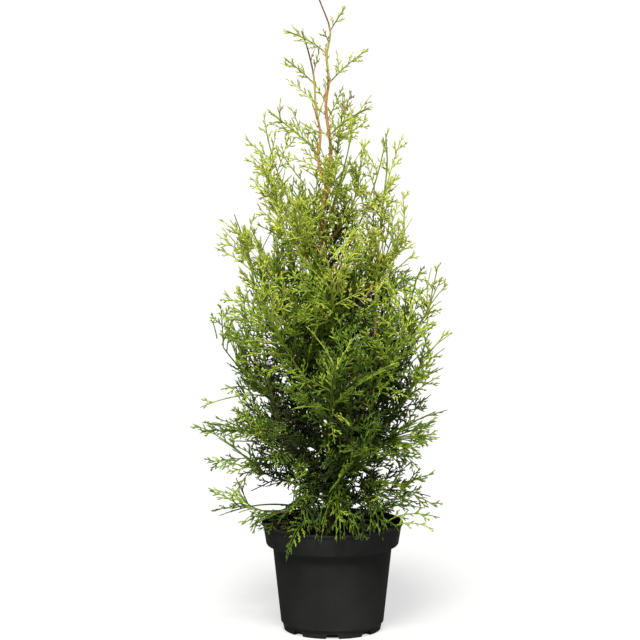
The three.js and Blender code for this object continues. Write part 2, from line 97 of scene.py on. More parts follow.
# The masses that stand alone: the limb, the height they leave it at, their heading and length, their rise
# at the root and at the tip, how soon it turns from one to the other, and their sprays as above.
LONE_SPRAYS = table(
    "name on root heading length rise turn spray sprays",
    ("hanging_spray", "trunk", 153, 246, 166, (14, -74), 2.2, 34, 2),
    ("leader_spray_1", "trunk", 668, 338, 76, (44, 24), 1, 34, 3),
    ("leader_spray_2", "trunk", 736, 8, 72, (50, 30), 1, 28, 2),
    ("leader_spray_3", "leader", 736, 196, 58, (46, 34), 1, 26, 2),
    ("leader_spray_4", "trunk", 806, 350, 40, (60, 56), 1, 0, 0),
    ("leader_spray_5", "leader", 644, 184, 92, (46, 34), 1, 38, 3),
    ("leader_spray_6", "trunk", 776, 180, 68, (42, 14), 1, 24, 2),
)

# Single sprays that stand on the stem and on the leader themselves: the limb, the height they leave it
# at, their heading, their rise, how far they sag (upwards if below nothing) and their length.
LEADER_TWIGS = [
    ("leader", 750, 10, 72, 0.0, 40), ("leader", 708, 178, 52, 0.42, 54), ("leader", 632, 190, 78, 0.0, 38),
    ("leader", 624, 176, 28, 0.3, 50), ("leader", 680, 250, 52, 0.1, 46), ("leader", 700, 105, 48, 0.1, 42),
    ("leader", 765, 280, 52, 0.0, 28), ("leader", 790, 120, 58, 0.0, 22), ("trunk", 711, 186, 64, 0.0, 36),
    ("trunk", 661, 22, 46, 0.1, 52), ("trunk", 687, 350, 62, 0.05, 54), ("trunk", 661, 168, 50, 0.05, 36),
    ("trunk", 621, 80, 82, 0.0, 34), ("trunk", 640, 264, 56, 0.1, 62), ("trunk", 700, 86, 55, 0.1, 52),
    ("trunk", 728, 268, 52, 0.05, 42), ("trunk", 762, 96, 52, 0.0, 34), ("trunk", 790, 232, 60, 0.0, 26),
    ("trunk", 660, 350, 38, -0.08, 54), ("leader", 668, 176, 20, -0.1, 30), ("leader", 690, 300, 64, 0.0, 34),
    ("trunk", 604, 24, 60, 0.0, 50), ("trunk", 596, 300, 58, 0.0, 56),
]
# The sprays of the stem itself inside the crown: heights of the first and last, how far apart, the first's
# heading and the turn to the next, and their rise, length and sag from the lowest to the highest.
INNER_TWIGS = {"heights": (176, 560), "apart": 4.2, "first": 250, "turn": 99.5, "rise": (8, 62),
               "length": (78, 56), "sag": (0.15, -0.05), "stray": {"turn": 20, "rise": 16, "length": 0.3}}

# Slim upright stems that leave the main stem inside the crown and stand among the masses: the height
# they leave it at, their radius at the foot and at the tip, and the heights, X and Y they sway to.
SIDE_STEMS = table(
    "name from foot tip sway",
    ("right", 232, 2.9, 0.8, [
        (262, 18, -12), (296, 38, -24), (346, 54, -30), (450, 57, -30), (528, 61, -30), (584, 67, -26),
        (631, 72, -20), (672, 70, -14)]),
    ("left", 204, 2.3, 0.7, [
        (226, -26, -16), (256, -52, -28), (299, -73, -34), (351, -86, -34), (412, -94, -31), (466, -102, -28),
        (523, -115, -22), (565, -130, -18)]),
    ("front", 258, 1.9, 0.7, [
        (284, 0, -30), (316, 7, -58), (346, 11, -64), (404, 22, -66), (485, 30, -58), (528, 30, -50)]),
    ("back_right", 240, 2.3, 0.7, [
        (270, 20, 26), (312, 38, 50), (372, 46, 60), (450, 48, 62), (530, 54, 56), (600, 56, 44)]),
    ("back_left", 222, 2.3, 0.7, [
        (250, -22, 24), (290, -42, 44), (350, -54, 56), (430, -60, 60), (520, -68, 52), (590, -76, 40)]),
    ("right_low", 232, 2.1, 0.7, [(258, 36, -6), (288, 74, -12), (324, 102, -10), (368, 120, -4)]),
    ("left_low", 186, 1.9, 0.7, [(196, -28, -14), (208, -64, -26), (222, -102, -30)]),
    ("left_upper", 410, 1.9, 0.7, [
        (440, -26, -12), (488, -50, -20), (545, -64, -22), (600, -78, -18), (632, -88, -12)]),
    ("right_inner", 520, 1.9, 0.7, [(534, 0, -10), (556, 16, -18), (590, 30, -22), (618, 36, -20)]),
    ("front_low", 198, 1.8, 0.7, [(212, -1, -22), (214, 2, -48), (196, 4, -76)]),
    ("front_low_right", 184, 1.8, 0.7, [(198, 22, -22), (202, 42, -44), (190, 56, -66)]),
    ("left_rim", 158, 1.6, 0.8, [
        (164, -34, -18), (167, -70, -38), (172, -96, -46), (180, -111, -50), (191, -120, -50),
        (199, -126, -48)]),
    ("front_low_left", 190, 1.8, 0.7, [(202, -20, -24), (204, -34, -50), (188, -42, -76)]),
)

# The sprays that stand out most: the tip's X, Y and height, the length wanted, and how high the spray
# arches above the straight line from its root to its tip, in hundredths of that line.
PLACED_SPRAYS = [
    (-137, -18, 558, 46, 2), (-149, -5, 545, 74, 5), (-156, -12, 538, 66, 5), (-158, -10, 519, 70, 6),
    (-129, -8, 545, 40, 0), (-117, -28, 553, 46, 0), (-113, -42, 549, 50, 5), (-129, -30, 469, 52, 4),
    (-149, 0, 441, 80, 5), (-163, -20, 425, 66, 8), (-142, 22, 400, 60, 2), (-135, -44, 403, 60, 2),
    (-133, 12, 381, 60, 0), (-127, -34, 380, 60, -2), (-123, 4, 357, 60, -3), (-115, -52, 360, 60, 0),
    (-122, 16, 340, 55, 0), (-150, -12, 327, 70, 6), (-178, 0, 303, 104, 7), (-188, -20, 285, 112, 8),
    (-179, 14, 266, 92, 6), (-153, -34, 268, 80, 5), (-135, 4, 246, 70, 5), (-162, -12, 231, 98, 6),
    (-165, -30, 195, 56, 8), (-121, -62, 155, 62, 14), (-107, -72, 145, 48, 14), (-94, -86, 364, 60, 6),
    (-102, -80, 328, 64, 6), (-117, -70, 305, 66, 5), (-123, -60, 252, 62, 5), (-118, 12, 638, 84, 6),
    (-94, -12, 650, 84, 2), (-110, 0, 644, 56, 3), (-110, -26, 617, 62, 5), (-104, 12, 591, 62, 2),
    (-102, -24, 569, 58, 3), (-101, 22, 547, 56, 3), (-41, -14, 626, 46, 0), (-31, -22, 610, 44, 0),
    (-62, -26, 636, 52, -10), (-67, -40, 607, 56, 2), (-55, -46, 591, 50, 4), (44, -12, 666, 54, 0),
    (97, 0, 671, 112, 4), (90, -12, 618, 62, 10), (22, -16, 643, 52, 0), (30, -32, 639, 42, 0),
    (94, -22, 597, 62, 3), (97, -6, 576, 56, 0), (105, -20, 561, 62, 3), (96, 4, 537, 42, 6),
    (105, -16, 530, 52, 3), (102, -12, 498, 46, 3), (113, 2, 511, 96, 0), (133, 12, 491, 72, 6),
    (142, -20, 499, 88, 2), (146, -14, 482, 70, 5), (153, -26, 475, 84, 5), (145, -20, 450, 60, 8),
    (135, 4, 428, 52, 3), (134, 22, 408, 56, 3), (155, -10, 411, 92, 5), (156, -18, 404, 70, 8),
    (150, 12, 382, 72, 8), (139, -22, 371, 62, 3), (142, 22, 354, 62, 3), (144, -10, 349, 72, 3),
    (128, 12, 300, 62, 5), (135, -22, 288, 82, 5), (139, -32, 273, 86, 3), (141, -10, 262, 82, 3),
    (136, -12, 216, 82, 3), (128, 14, 205, 62, 5), (142, -12, 165, 92, 12), (145, -52, 161, 62, 15),
    (136, -64, 148, 48, 14), (117, -50, 456, 60, 5), (110, -66, 397, 64, 5), (118, -62, 339, 62, 5),
    (103, -66, 256, 66, 4), (-25, -104, 293, 62, 14), (31, -98, 330, 56, 6), (-43, -102, 247, 60, 6),
    (19, -106, 199, 62, 12), (47, -92, 213, 62, 10), (-15, -109, 140, 92, 16), (5, -110, 140, 86, 16),
    (38, -107, 142, 84, 16), (62, -100, 147, 74, 14), (-22, -96, 161, 62, 12), (-43, -90, 168, 56, 10),
    (-62, -80, 180, 60, 10), (-5, -100, 447, 60, 10), (62, -84, 458, 60, 8), (26, -110, 414, 70, 12),
    (-19, -112, 398, 64, 10), (-43, -104, 424, 62, 8), (-54, -108, 368, 64, 10), (7, -116, 369, 60, 12),
    (39, -112, 368, 62, 10), (73, -98, 339, 62, 8), (-67, -98, 291, 62, 10), (23, -112, 277, 62, 12),
    (61, -100, 267, 60, 10), (-6, -114, 261, 60, 14), (-35, -100, 213, 58, 12), (74, -86, 219, 58, 10),
    (-41, -92, 476, 60, 6), (39, -76, 511, 58, 5), (-65, -78, 511, 58, 5), (-30, -70, 550, 56, 4),
    (17, -62, 562, 52, 4), (-54, -98, 463, 60, 8), (-28, -84, 186, 52, 8), (14, -92, 176, 58, 10),
    (44, -84, 190, 56, 4), (58, -78, 200, 60, 2), (24, -96, 160, 62, 12), (-12, -94, 152, 56, 16),
    (28, -104, 146, 70, 18), (50, -104, 148, 72, 18), (12, -108, 142, 78, 18), (-30, -104, 150, 66, 16),
    (72, -92, 152, 64, 14), (-19, -99, 138, 70, 20), (17, -99, 141, 70, 20), (33, -97, 143, 66, 20),
    (-37, -94, 156, 60, 14), (55, -86, 150, 60, 14), (53, -80, 219, 60, -4), (26, -90, 232, 58, -2),
    (10, -92, 204, 56, 6), (-19, -100, 254, 60, 12), (-8, -100, 290, 58, 14), (-43, -84, 192, 52, 6),
    (-58, -82, 200, 50, 2), (2, -70, 168, 46, 10), (-14, -66, 178, 44, 10), (20, -66, 182, 46, 6),
    (-24, -70, 212, 50, 8), (6, -74, 226, 52, 6), (36, -70, 240, 54, 4), (10, -36, 600, 50, 4),
    (30, -40, 582, 50, 2), (48, -34, 606, 50, 2), (14, -44, 566, 46, 4), (40, -44, 556, 48, 4),
    (-100, -10, 600, 46, 4), (-96, -22, 582, 44, 4), (-92, -6, 622, 44, 4), (106, -30, 435, 56, 4),
    (115, -16, 415, 58, 3), (105, -44, 402, 54, 3), (111, 4, 377, 56, 2), (102, -40, 368, 54, 2),
    (118, -14, 354, 58, 3), (95, -56, 353, 52, 3), (99, -44, 231, 56, 5), (117, -22, 246, 60, 4),
    (14, -30, 611, 42, 2), (7, -46, 595, 44, 4), (-66, -92, 521, 58, 10), (-57, -92, 535, 56, 10),
    (15, -50, 623, 46, 4), (34, -54, 612, 46, 4), (53, -52, 601, 46, 4), (23, -62, 592, 48, 6),
    (54, -24, 616, 42, 2), (45, -64, 584, 48, 6), (70, -38, 540, 48, 3), (79, -38, 521, 48, 3),
    (62, -46, 511, 48, 4), (-3, -26, 632, 36, 2), (6, -18, 639, 34, 2), (-65, -36, 631, 40, 2),
    (-54, -40, 621, 42, 2), (-45, -30, 633, 36, 0), (-142, -50, 205, 44, 5), (-77, 0, 655, 38, 8),
    (-73, -4, 646, 38, 8), (-35, -8, 684, 36, 0), (-45, 0, 686, 36, 0), (-54, 4, 692, 32, 0),
    (-91, 0, 679, 28, 4), (-26, -10, 676, 30, 2), (-64, -8, 690, 30, 2), (15, -44, 619, 44, 4),
    (27, -46, 611, 46, 3), (19, -52, 585, 50, 6), (35, -56, 572, 50, 4), (17, -60, 559, 50, 6),
    (41, -62, 552, 52, 4), (26, -30, 592, 44, 2), (-142, -14, 442, 60, 3), (-123, -36, 438, 56, 4),
    (-135, 8, 417, 56, 2), (-119, -50, 416, 56, 4), (-110, -46, 402, 54, 2), (-129, 22, 423, 52, 2),
    (139, -22, 421, 60, 4), (129, 6, 405, 56, 2), (123, -34, 398, 56, 3), (131, -14, 271, 70, 3),
    (139, -30, 266, 76, 4), (91, -56, 258, 56, 4), (111, -20, 242, 62, 3), (102, -50, 237, 60, 4),
    (125, 10, 251, 64, 2), (94, -40, 225, 58, 5), (81, -64, 244, 54, 5), (115, -28, 223, 64, 4),
    (89, -64, 192, 56, 10), (102, -60, 181, 60, 12), (78, -76, 188, 56, 12), (38, -84, 232, 56, 6),
    (49, -80, 235, 56, 6), (31, -88, 214, 56, 10), (13, -92, 193, 54, 12), (106, -34, 202, 60, 8),
    (-162, -44, 200, 56, 6), (-155, -56, 191, 48, 6), (-125, -62, 172, 38, 10), (-109, -72, 148, 42, 12),
    (-138, -52, 180, 40, 8), (-118, -66, 160, 40, 10),
]
# And those that the same habit puts round the rest of the crown.
EDGE_SPRAYS = {"count": 150, "stray": (-14, 14), "heights": (158, 662), "reach": (0.9, 1.05),
               "length": (84, 62), "arch": (0.14, -0.03), "front_and_back": 0.42}

# How much the boughs stray, their radius at the foot, and how the sprays of a mass are set and stray.
JITTER = {"heading": 9, "rise": 5, "sweep": 16, "short": 0.04}
BOUGH_FOOT = 3.4
# A mass's stem: its radius at foot and tip for a mass of full length, and the share it ends at.
STEM = {"foot": 1.7, "tip": 0.7, "full_length": 180, "end": 0.84}
SPRAY = {"first": 0.16, "shorten": (1.12, 0.7), "angle": 44, "droop": 0.1, "sunk": 7, "outside": 1.05,
         "tries": 9, "next_try": 22}
SPRAY_STRAY = {"fan": 40, "roll": 38, "angle": 8, "length": 0.12, "twist": 30}
PATH_STEPS = 24

# How many sprays fill in between those of the solids, by tier or mass, how many more sit deep inside the
# crown and on a bough's bare part, how far out the tips of both may reach, and how far a spray's tip sags
# as a share of its length.
FILL = {"skirt": 9, "low": 15, "middle": 19, "broad": 19, "high": 13, "top": 7, "side": 13, "hanging": 0,
        "leader": 0, "leader_spray_1": 3, "leader_spray_5": 4}
CORE = {"skirt": 5, "low": 12, "middle": 17, "broad": 17, "high": 9, "top": 3, "side": 5}
# Painted shade: how much deeper a green the core sprays are dealt, by tier.
CORE_SHADE = {"high": 0.35, "top": 0.1, "side": 0.3, "others": 0.55}
BARE_FILL = 7
FIRST_FILL = {"skirt": 0.5}
FILL_REACH = (0.7, 0.93)
CORE_REACH = (0.5, 0.76)
FILL_SPREAD = {"last": 0.95, "crowding": 0.8, "roll": 80, "angle": 44, "angle_stray": 14, "twist": 85}
FILL_LENGTH = {"shorten": (1.05, 0.68), "core": 0.8, "bare": 0.7}
CORE_SPREAD = (0.12, 0.8)
LOWEST_TIP = 134
LOW_SPRAY = 0.5  # what is left of the length of a spray that would reach lower
SAG = {"skirt": 0.22, "low": 0.16, "middle": 0.08, "broad": 0.02, "high": -0.06, "top": -0.08,
       "side": 0.04, "hanging": 0.1, "leader": 0.0}
# Where the fill stays back from the crown's reach: height above ground, then the share of the reach that
# is left on the left and on the right.
WAIST = [
    (300, 1, 1), (332, 0.84, 1), (384, 0.86, 1), (410, 1, 0.95), (455, 1, 0.86), (490, 1, 0.86), (520, 1, 1),
]
# Gaps where the sky shows through from the front: X, the height as seen, half the width, half the height.
SKY = [
    (-29, 609, 8, 11), (62, 604, 11, 8), (71, 519, 8, 7), (-126, 578, 17, 9), (-145, 491, 17, 13),
    (-147, 351, 12, 15), (-162, 388, 17, 15), (-147, 313, 15, 7), (-154, 247, 20, 11), (-123, 237, 12, 8),
    (-83, 180, 32, 15), (26, 651, 13, 8), (-86, 651, 5, 7), (-115, 565, 8, 9), (-139, 558, 8, 8),
    (-133, 531, 5, 7), (102, 546, 8, 11), (95, 499, 11, 11), (131, 480, 8, 5), (-159, 407, 8, 9),
    (97, 263, 9, 7), (-61, 616, 8, 7), (33, 582, 7, 5), (-10, 652, 4, 12), (55, 650, 8, 8), (-101, 534, 5, 4),
    (-86, 531, 7, 5), (-85, 518, 5, 5), (-103, 512, 5, 5), (-78, 562, 4, 8), (-114, 493, 4, 7),
    (-61, 547, 4, 7), (-95, 543, 7, 4), (-139, 378, 8, 12), (-135, 309, 11, 7), (-158, 258, 9, 8),
    (141, 448, 11, 12), (143, 387, 11, 11),
]
STUMP = 0.3  # a twig cut back to this share or less is left out
VIEW_LEAN = 0.158  # how much higher a point is seen for each millimetre that it stands further back
# Painted light and shade: how much lighter the sprays' greens are dealt by the height of their tips, lighter
# high up where the light falls and deeper low down in the shade.
PAINTED_LIGHT_BY_HEIGHT = [
    (150, -0.22), (190, -0.05), (235, 0.02), (330, 0.07), (400, 0.17), (460, 0.33), (520, 0.66), (590, 0.92),
    (660, 1.04),
]

# ---- Draws, angles and paths -------------------------------------

WORD = 0xFFFFFFFF


def seeded_draw(seed):
    """The source's seeded numbers from 0 to 1 (mulberry32)."""
    state = [seed & WORD]

    def draw():
        state[0] = (state[0] + 0x6D2B79F5) & WORD
        t = state[0]
        t = ((t ^ (t >> 15)) * (t | 1)) & WORD
        t ^= (t + (t ^ (t >> 7)) * (t | 61)) & WORD
        return ((t ^ (t >> 14)) & WORD) / 2**32

    return draw


def stray(draw, reach):
    return (2 * draw() - 1) * reach


def mix(a, b, share):
    return a + (b - a) * share


def unit(vectors):
    return vectors / np.linalg.norm(vectors, axis=-1, keepdims=True)


def across_part(vectors, along):
    """The unit direction of vectors that is left once their part along the unit vectors is taken off."""
    return unit(vectors - (vectors * along).sum(-1, keepdims=True) * along)


def turned(vector, axis, degrees):
    """A vector turned about a unit axis."""
    angle = math.radians(degrees)
    turned_part = vector * math.cos(angle) + np.cross(axis, vector) * math.sin(angle)
    return turned_part + axis * np.dot(axis, vector) * (1 - math.cos(angle))


def direction_of(heading, rise):
    h, r = math.radians(heading), math.radians(rise)
    return np.array([math.cos(r) * math.cos(h), math.cos(r) * math.sin(h), math.sin(r)])


def grown_path(root, heading, rise, length, sweep=0, turn=1):
    """The line of a limb that grows from root, as evenly spaced points."""
    points = [root]
    for i in range(PATH_STEPS):
        share = (i + 0.5) / PATH_STEPS
        step = direction_of(heading + sweep * share, mix(rise[0], rise[1], share**turn))
        points.append(points[-1] + step * (length / PATH_STEPS))
    return np.array(points)


def point_on(path, share):
    place = np.clip(share, 0, 1) * (len(path) - 1)
    before = np.minimum(np.floor(place).astype(int), len(path) - 2)
    part = (place - before)[..., None]
    return path[before] * (1 - part) + path[before + 1] * part


def tangent_on(path, share):
    reach = 0.02
    return unit(point_on(path, share + reach) - point_on(path, share - reach))


def path_length(path):
    return np.linalg.norm(np.diff(path, axis=0), axis=1).sum()


def sway_path(foot, sway, steps):
    """Evenly spaced points on a smooth (centripetal) curve through a foot and the places it sways to."""
    places = np.array([foot] + [(x, y, height) for height, x, y in sway], float)
    ends = [2 * places[0] - places[1], 2 * places[-1] - places[-2]]
    knots = np.vstack([ends[0], places, ends[1]])
    fine = []
    for p0, p1, p2, p3 in zip(knots, knots[1:], knots[2:], knots[3:]):
        a, b, c = (math.sqrt(np.linalg.norm(q - p)) for p, q in ((p0, p1), (p1, p2), (p2, p3)))
        start = ((p1 - p0) / a - (p2 - p0) / (a + b) + (p2 - p1) / b) * b
        end = ((p2 - p1) / b - (p3 - p1) / (b + c) + (p3 - p2) / c) * b
        t = np.linspace(0, 1, 40, endpoint=False)[:, None]
        fine.append(p1 + start * t + (3 * (p2 - p1) - 2 * start - end) * t**2
                    + (2 * (p1 - p2) + start + end) * t**3)
    fine = np.vstack(fine + [places[-1:]])
    run = np.concatenate([[0], np.cumsum(np.linalg.norm(np.diff(fine, axis=0), axis=1))])
    even = np.linspace(0, run[-1], steps + 1)
    return np.stack([np.interp(even, run, fine[:, axis]) for axis in range(3)], axis=1)


def share_at_height(path, height):
    after = max(1, int(np.argmax(path[:, 2] >= height)))
    low, high = path[after - 1][2], path[after][2]
    return (after - 1 + (height - low) / (high - low)) / (len(path) - 1)


# ---- Plan of the crown -------------------------------------------

trunk_path = sway_path((TRUNK_OFFSET, 0, COMPOST_TOP + 0.3), TRUNK_SWAY, 60)
fork_point = point_on(trunk_path, share_at_height(trunk_path, FORK_HEIGHT))
leader_path = sway_path(fork_point, LEADER_SWAY, 24)
LIMB_PATHS = {"trunk": trunk_path, "leader": leader_path}
for stem in SIDE_STEMS:
    foot = point_on(trunk_path, share_at_height(trunk_path, stem["from"]))
    LIMB_PATHS[stem["name"]] = sway_path(foot, stem["sway"], 40)


def crown_reach(points):
    """The crown's reach from the stem's line at each point's height, towards that point."""
    x, y, z = np.moveaxis(np.asarray(points, float), -1, 0)
    heights, left, right = np.array(CROWN_REACH, float).T
    to_left = np.interp(z, heights, left)
    to_right = np.interp(z, heights, right)
    deep = (to_left + to_right) / 2
    return mix(deep, np.where(x < 0, to_left, to_right), x**2 / (x**2 + y**2 + 1e-9))


def path_to_reach(root, heading, rise, sweep, share):
    """A bough's path with its foliage, as long as takes its tip to a share of the crown's reach."""
    short, long = 0.0, 2.0 * POT_HEIGHT
    path = None
    for _ in range(16):
        length = (short + long) / 2
        path = grown_path(root, heading, rise, length, sweep)
        if math.hypot(*path[-1][:2]) < share * crown_reach(path[-1]):
            short = length
        else:
            long = length
    return path


def tier_mass(tier, i, place):
    draw = seeded_draw(1000 + place)
    heading = SPIRAL["first"] + SPIRAL["turn"] * place + stray(draw, JITTER["heading"])
    rise = [angle + stray(draw, JITTER["rise"]) for angle in tier["rise"]]
    sweep = stray(draw, JITTER["sweep"])
    height = mix(*tier["roots"], i / (tier["count"] - 1))
    root = point_on(trunk_path, share_at_height(trunk_path, height))
    path = path_to_reach(root, heading, rise, sweep, 1 - JITTER["short"] * draw())
    return {**tier, "tier": tier["name"], "name": f"{tier['name']}_foliage_{i + 1}", "path": path,
            "draw": draw, "place": place}


def lone_mass(lone, place):
    limb = LIMB_PATHS[lone["on"]]
    root = point_on(limb, share_at_height(limb, lone["root"]))
    path = grown_path(root, lone["heading"], lone["rise"], lone["length"], turn=lone["turn"])
    return {**lone, "tier": lone["name"].split("_")[0], "bough": 0, "path": path,
            "draw": seeded_draw(9000 + place), "place": 100 + place}


def crown_plan():
    plan = []
    for tier in TIERS:
        for i in range(tier["count"]):
            plan.append(tier_mass(tier, i, len(plan)))
    return plan + [lone_mass(lone, place) for place, lone in enumerate(LONE_SPRAYS)]


def side_masses():
    """The foliage of the side stems, as masses that stand for no solid."""
    return [{"name": f"side_{stem['name']}", "tier": "side", "path": LIMB_PATHS[stem["name"]], "bough": 0.3,
             "spray": 56, "sprays": 0, "place": 200 + i} for i, stem in enumerate(SIDE_STEMS)]


def frame_at(path, share, **rest):
    """Where a spray leaves its path: the point, the path's direction and the level across it."""
    tangent = tangent_on(path, share)
    level = unit(np.cross(tangent, np.array([0.0, 0.0, 1.0])))
    return {"root": point_on(path, share), "tangent": tangent, "level": level, **rest}


def spray_frames(mass):
    """The frames of a mass's sprays, drawn as the solids' are."""
    path, draw, sprays = mass["path"], mass["draw"], mass["sprays"]
    fan_roll = stray(draw, SPRAY_STRAY["fan"])
    frames = []
    for i in range(sprays):
        share = mix(mass["bough"] or SPRAY["first"], STEM["end"], (i + 0.35) / sprays)
        roll = fan_roll + stray(draw, SPRAY_STRAY["roll"])
        angle = SPRAY["angle"] + stray(draw, SPRAY_STRAY["angle"])
        length = mass["spray"] * mix(*SPRAY["shorten"], i / sprays)
        length *= 1 + stray(draw, SPRAY_STRAY["length"])
        frames.append(frame_at(path, share, turn=1 if i % 2 else -1, roll=roll, angle=angle, length=length,
                               twist=stray(draw, SPRAY_STRAY["twist"])))
    total = path_length(path)
    frames.append(frame_at(path, STEM["end"] - SPRAY["sunk"] / total, turn=1, roll=fan_roll, angle=0,
                           length=total * (1 - STEM["end"]) + SPRAY["sunk"],
                           twist=stray(draw, SPRAY_STRAY["twist"])))
    return frames


def fill_frames(mass):
    """The frames of the sprays that fill in between, above and below their stem and facing all ways."""
    draw, path, spray = seeded_draw(5000 + mass["place"]), mass["path"], mass["spray"]
    count, cores = FILL.get(mass["name"], FILL.get(mass["tier"])), CORE.get(mass["tier"], 0)
    frames, spread, lengths = [], FILL_SPREAD, FILL_LENGTH

    def add(share, length, inner, reach=FILL_REACH):
        frames.append(frame_at(
            path, share, turn=1 if len(frames) % 2 else -1, roll=90 + stray(draw, spread["roll"]),
            angle=spread["angle"] + stray(draw, spread["angle_stray"]), length=length,
            twist=stray(draw, spread["twist"]), inner=inner, outside=mix(*reach, draw()),
            along_surface=inner == 0 and len(frames) % 4 > 0))

    first = FIRST_FILL.get(mass["tier"], mass["bough"] or SPRAY["first"])
    for i in range(count):
        along = (i + 0.5 + stray(draw, 0.3)) / count
        share = mix(first, spread["last"], along ** spread["crowding"])
        add(share, spray * mix(*lengths["shorten"], along) * (1 + stray(draw, 0.3)), 0)
    shade = CORE_SHADE.get(mass["tier"], CORE_SHADE["others"])
    for i in range(cores):
        share = mix(*CORE_SPREAD, (i + 0.5 + stray(draw, 0.4)) / cores)
        add(share, spray * lengths["core"] * (1 + stray(draw, 0.25)), shade, CORE_REACH)
    # Sprays on a bough's bare part are dealt the deepest greens: painted shade.
    for i in range(BARE_FILL if mass["bough"] else 0):
        share = mass["bough"] * (i + 0.6 + stray(draw, 0.2)) / BARE_FILL
        add(share, spray * lengths["bare"] * (1 + stray(draw, 0.15)), 1)
    return frames


def placed_spray(frame_, more):
    """A spray's directions once it is rolled about its stem: along it, across it and out of its plane."""
    tangent = frame_["tangent"]
    side = turned(frame_["level"] * frame_["turn"], tangent, frame_["roll"] + more)
    angle = math.radians(frame_["angle"])
    axis = unit(tangent * math.cos(angle) + side * math.sin(angle))
    normal = turned(np.cross(tangent, side), axis, frame_["twist"])
    normal = across_part(normal, axis)
    return axis, np.cross(normal, axis), normal


def waist(points):
    heights, left, right = np.array(WAIST, float).T
    return np.where(points[:, 0] < 0, np.interp(points[:, 2], heights, left),
                    np.interp(points[:, 2], heights, right))


def within_crown(root, axis, normal, length, outside):
    share = np.linspace(0.3, 1, 5)[:, None]
    points = root + axis * length * share - normal * SPRAY["droop"] * length * share**2
    level = np.hypot(points[:, 0], points[:, 1])
    if outside < SPRAY["outside"]:
        outside = outside * waist(points)
    if (level > outside * crown_reach(points)).any():
        return False
    return ((points[:, 2] > POT_HEIGHT + ABOVE_LIP) | (level > LIP_RADIUS + BESIDE_LIP)).all()


def in_sky(points):
    x, height = points[:, 0], points[:, 2] + VIEW_LEAN * points[:, 1]
    inside = np.zeros(len(points), bool)
    for across, up, half_width, half_height in SKY:
        inside |= ((x - across) / half_width) ** 2 + ((height - up) / half_height) ** 2 < 1
    return inside


def clear_of_sky(twigs):
    """Twigs cut back to where they would grow into a gap, or left out."""
    row = np.arange(len(twigs))
    clear, kept = np.ones(len(twigs), bool), np.zeros(len(twigs))
    for share in np.linspace(0.25, 1, 4):
        clear &= ~in_sky(twigs.at(row, np.full(len(twigs), share)))
        kept[clear] = share
    for column in ("length", "bend", "droop"):
        setattr(twigs, column, getattr(twigs, column) * kept)
    return twigs.rows(kept > STUMP)


# ---- Sprays, branchlets and shoots -------------------------------


class Twigs:
    """Many twigs at once, one row each: where they start, their directions, lengths, bends and tints."""

    def __init__(self, **columns):
        self.__dict__.update(columns)

    def __len__(self):
        return len(self.length)

    def rows(self, picked):
        return Twigs(**{key: column[picked] for key, column in self.__dict__.items()})

    def at(self, row, share):
        """The point of each row's twig at a share of its length."""
        s = share[..., None]
        reach = self.length[row][..., None]
        bend = self.bend[row][..., None]
        droop = self.droop[row][..., None]
        line = self.axis[row] * s + self.across[row] * bend * s**2 - self.normal[row] * droop * s**2
        return self.root[row] + line * reach

    def along(self, row, share):
        """The direction of each row's twig at a share of its length."""
        s = share[..., None]
        bend = self.bend[row][..., None]
        droop = self.droop[row][..., None]
        slope = self.across[row] * 2 * bend * s - self.normal[row] * 2 * droop * s
        return unit(self.axis[row] + slope)


# A spray's branchlets and a branchlet's shoots: how far apart they leave it, on alternate sides, from
# which share of it to which, at what angle, how long as a share of it and at most, the shortest that
# grows, where along it they are longest, how they bend forward, how wide they are, how long every second
# pair stays next to the others, and how far past the tip they would fade to nothing.
# The simpler side shoots (comb) are those of the slim sprays on the leaders, the fern's those of the one
# that hangs over the rim, and the saw's the teeth of both.
BRANCHLETS, SHOOTS, COMB, FERN, SAW = table(
    "pitch first last angle share longest shortest widest bend width every_second fade",
    (6.8, 0.08, 0.97, 42, 0.45, 40, 3.6, 0.42, (0.0, 0.26), 2.3, 0.45, 1.34),
    (3.9, 0.12, 0.97, 47, 0.44, 12, 3.4, 0.34, (0.05, 0.36), 2.4, 0.9, 1.25),
    (5.2, 0.14, 0.96, 43, 0.38, 18, 3.6, 0.4, (0.0, 0.22), 2.45, 0.55, 1.15),
    (5.4, 0.06, 0.97, 50, 0.4, 23, 5, 0.3, (0.05, 0.3), 3.0, 0.9, 1.12),
    (2.4, 0.2, 0.98, 44, 0.34, 4.6, 1.8, 0.3, (0.1, 0.3), 2.2, 0.8, 1.3),
)
TWIG_WIDTH = 2.2  # to which their widths are set
# What holds for them all: the share of their length at the parent's foot and what they gain from there,
# how their length strays, how steeply they lean and how much flatter towards the tip, how that strays in
# degrees, and how far they tip out of the plane and droop.
BRANCHING = {"swell": (0.55, 0.45), "length": (0.75, 1.18), "lean": (1.15, 0.4), "stray": 7, "tip": 0.22,
             "droop": (-0.03, 0.12)}
FULL, SLIM, HANGING = (BRANCHLETS, SHOOTS), (COMB, SAW), (FERN, SAW)



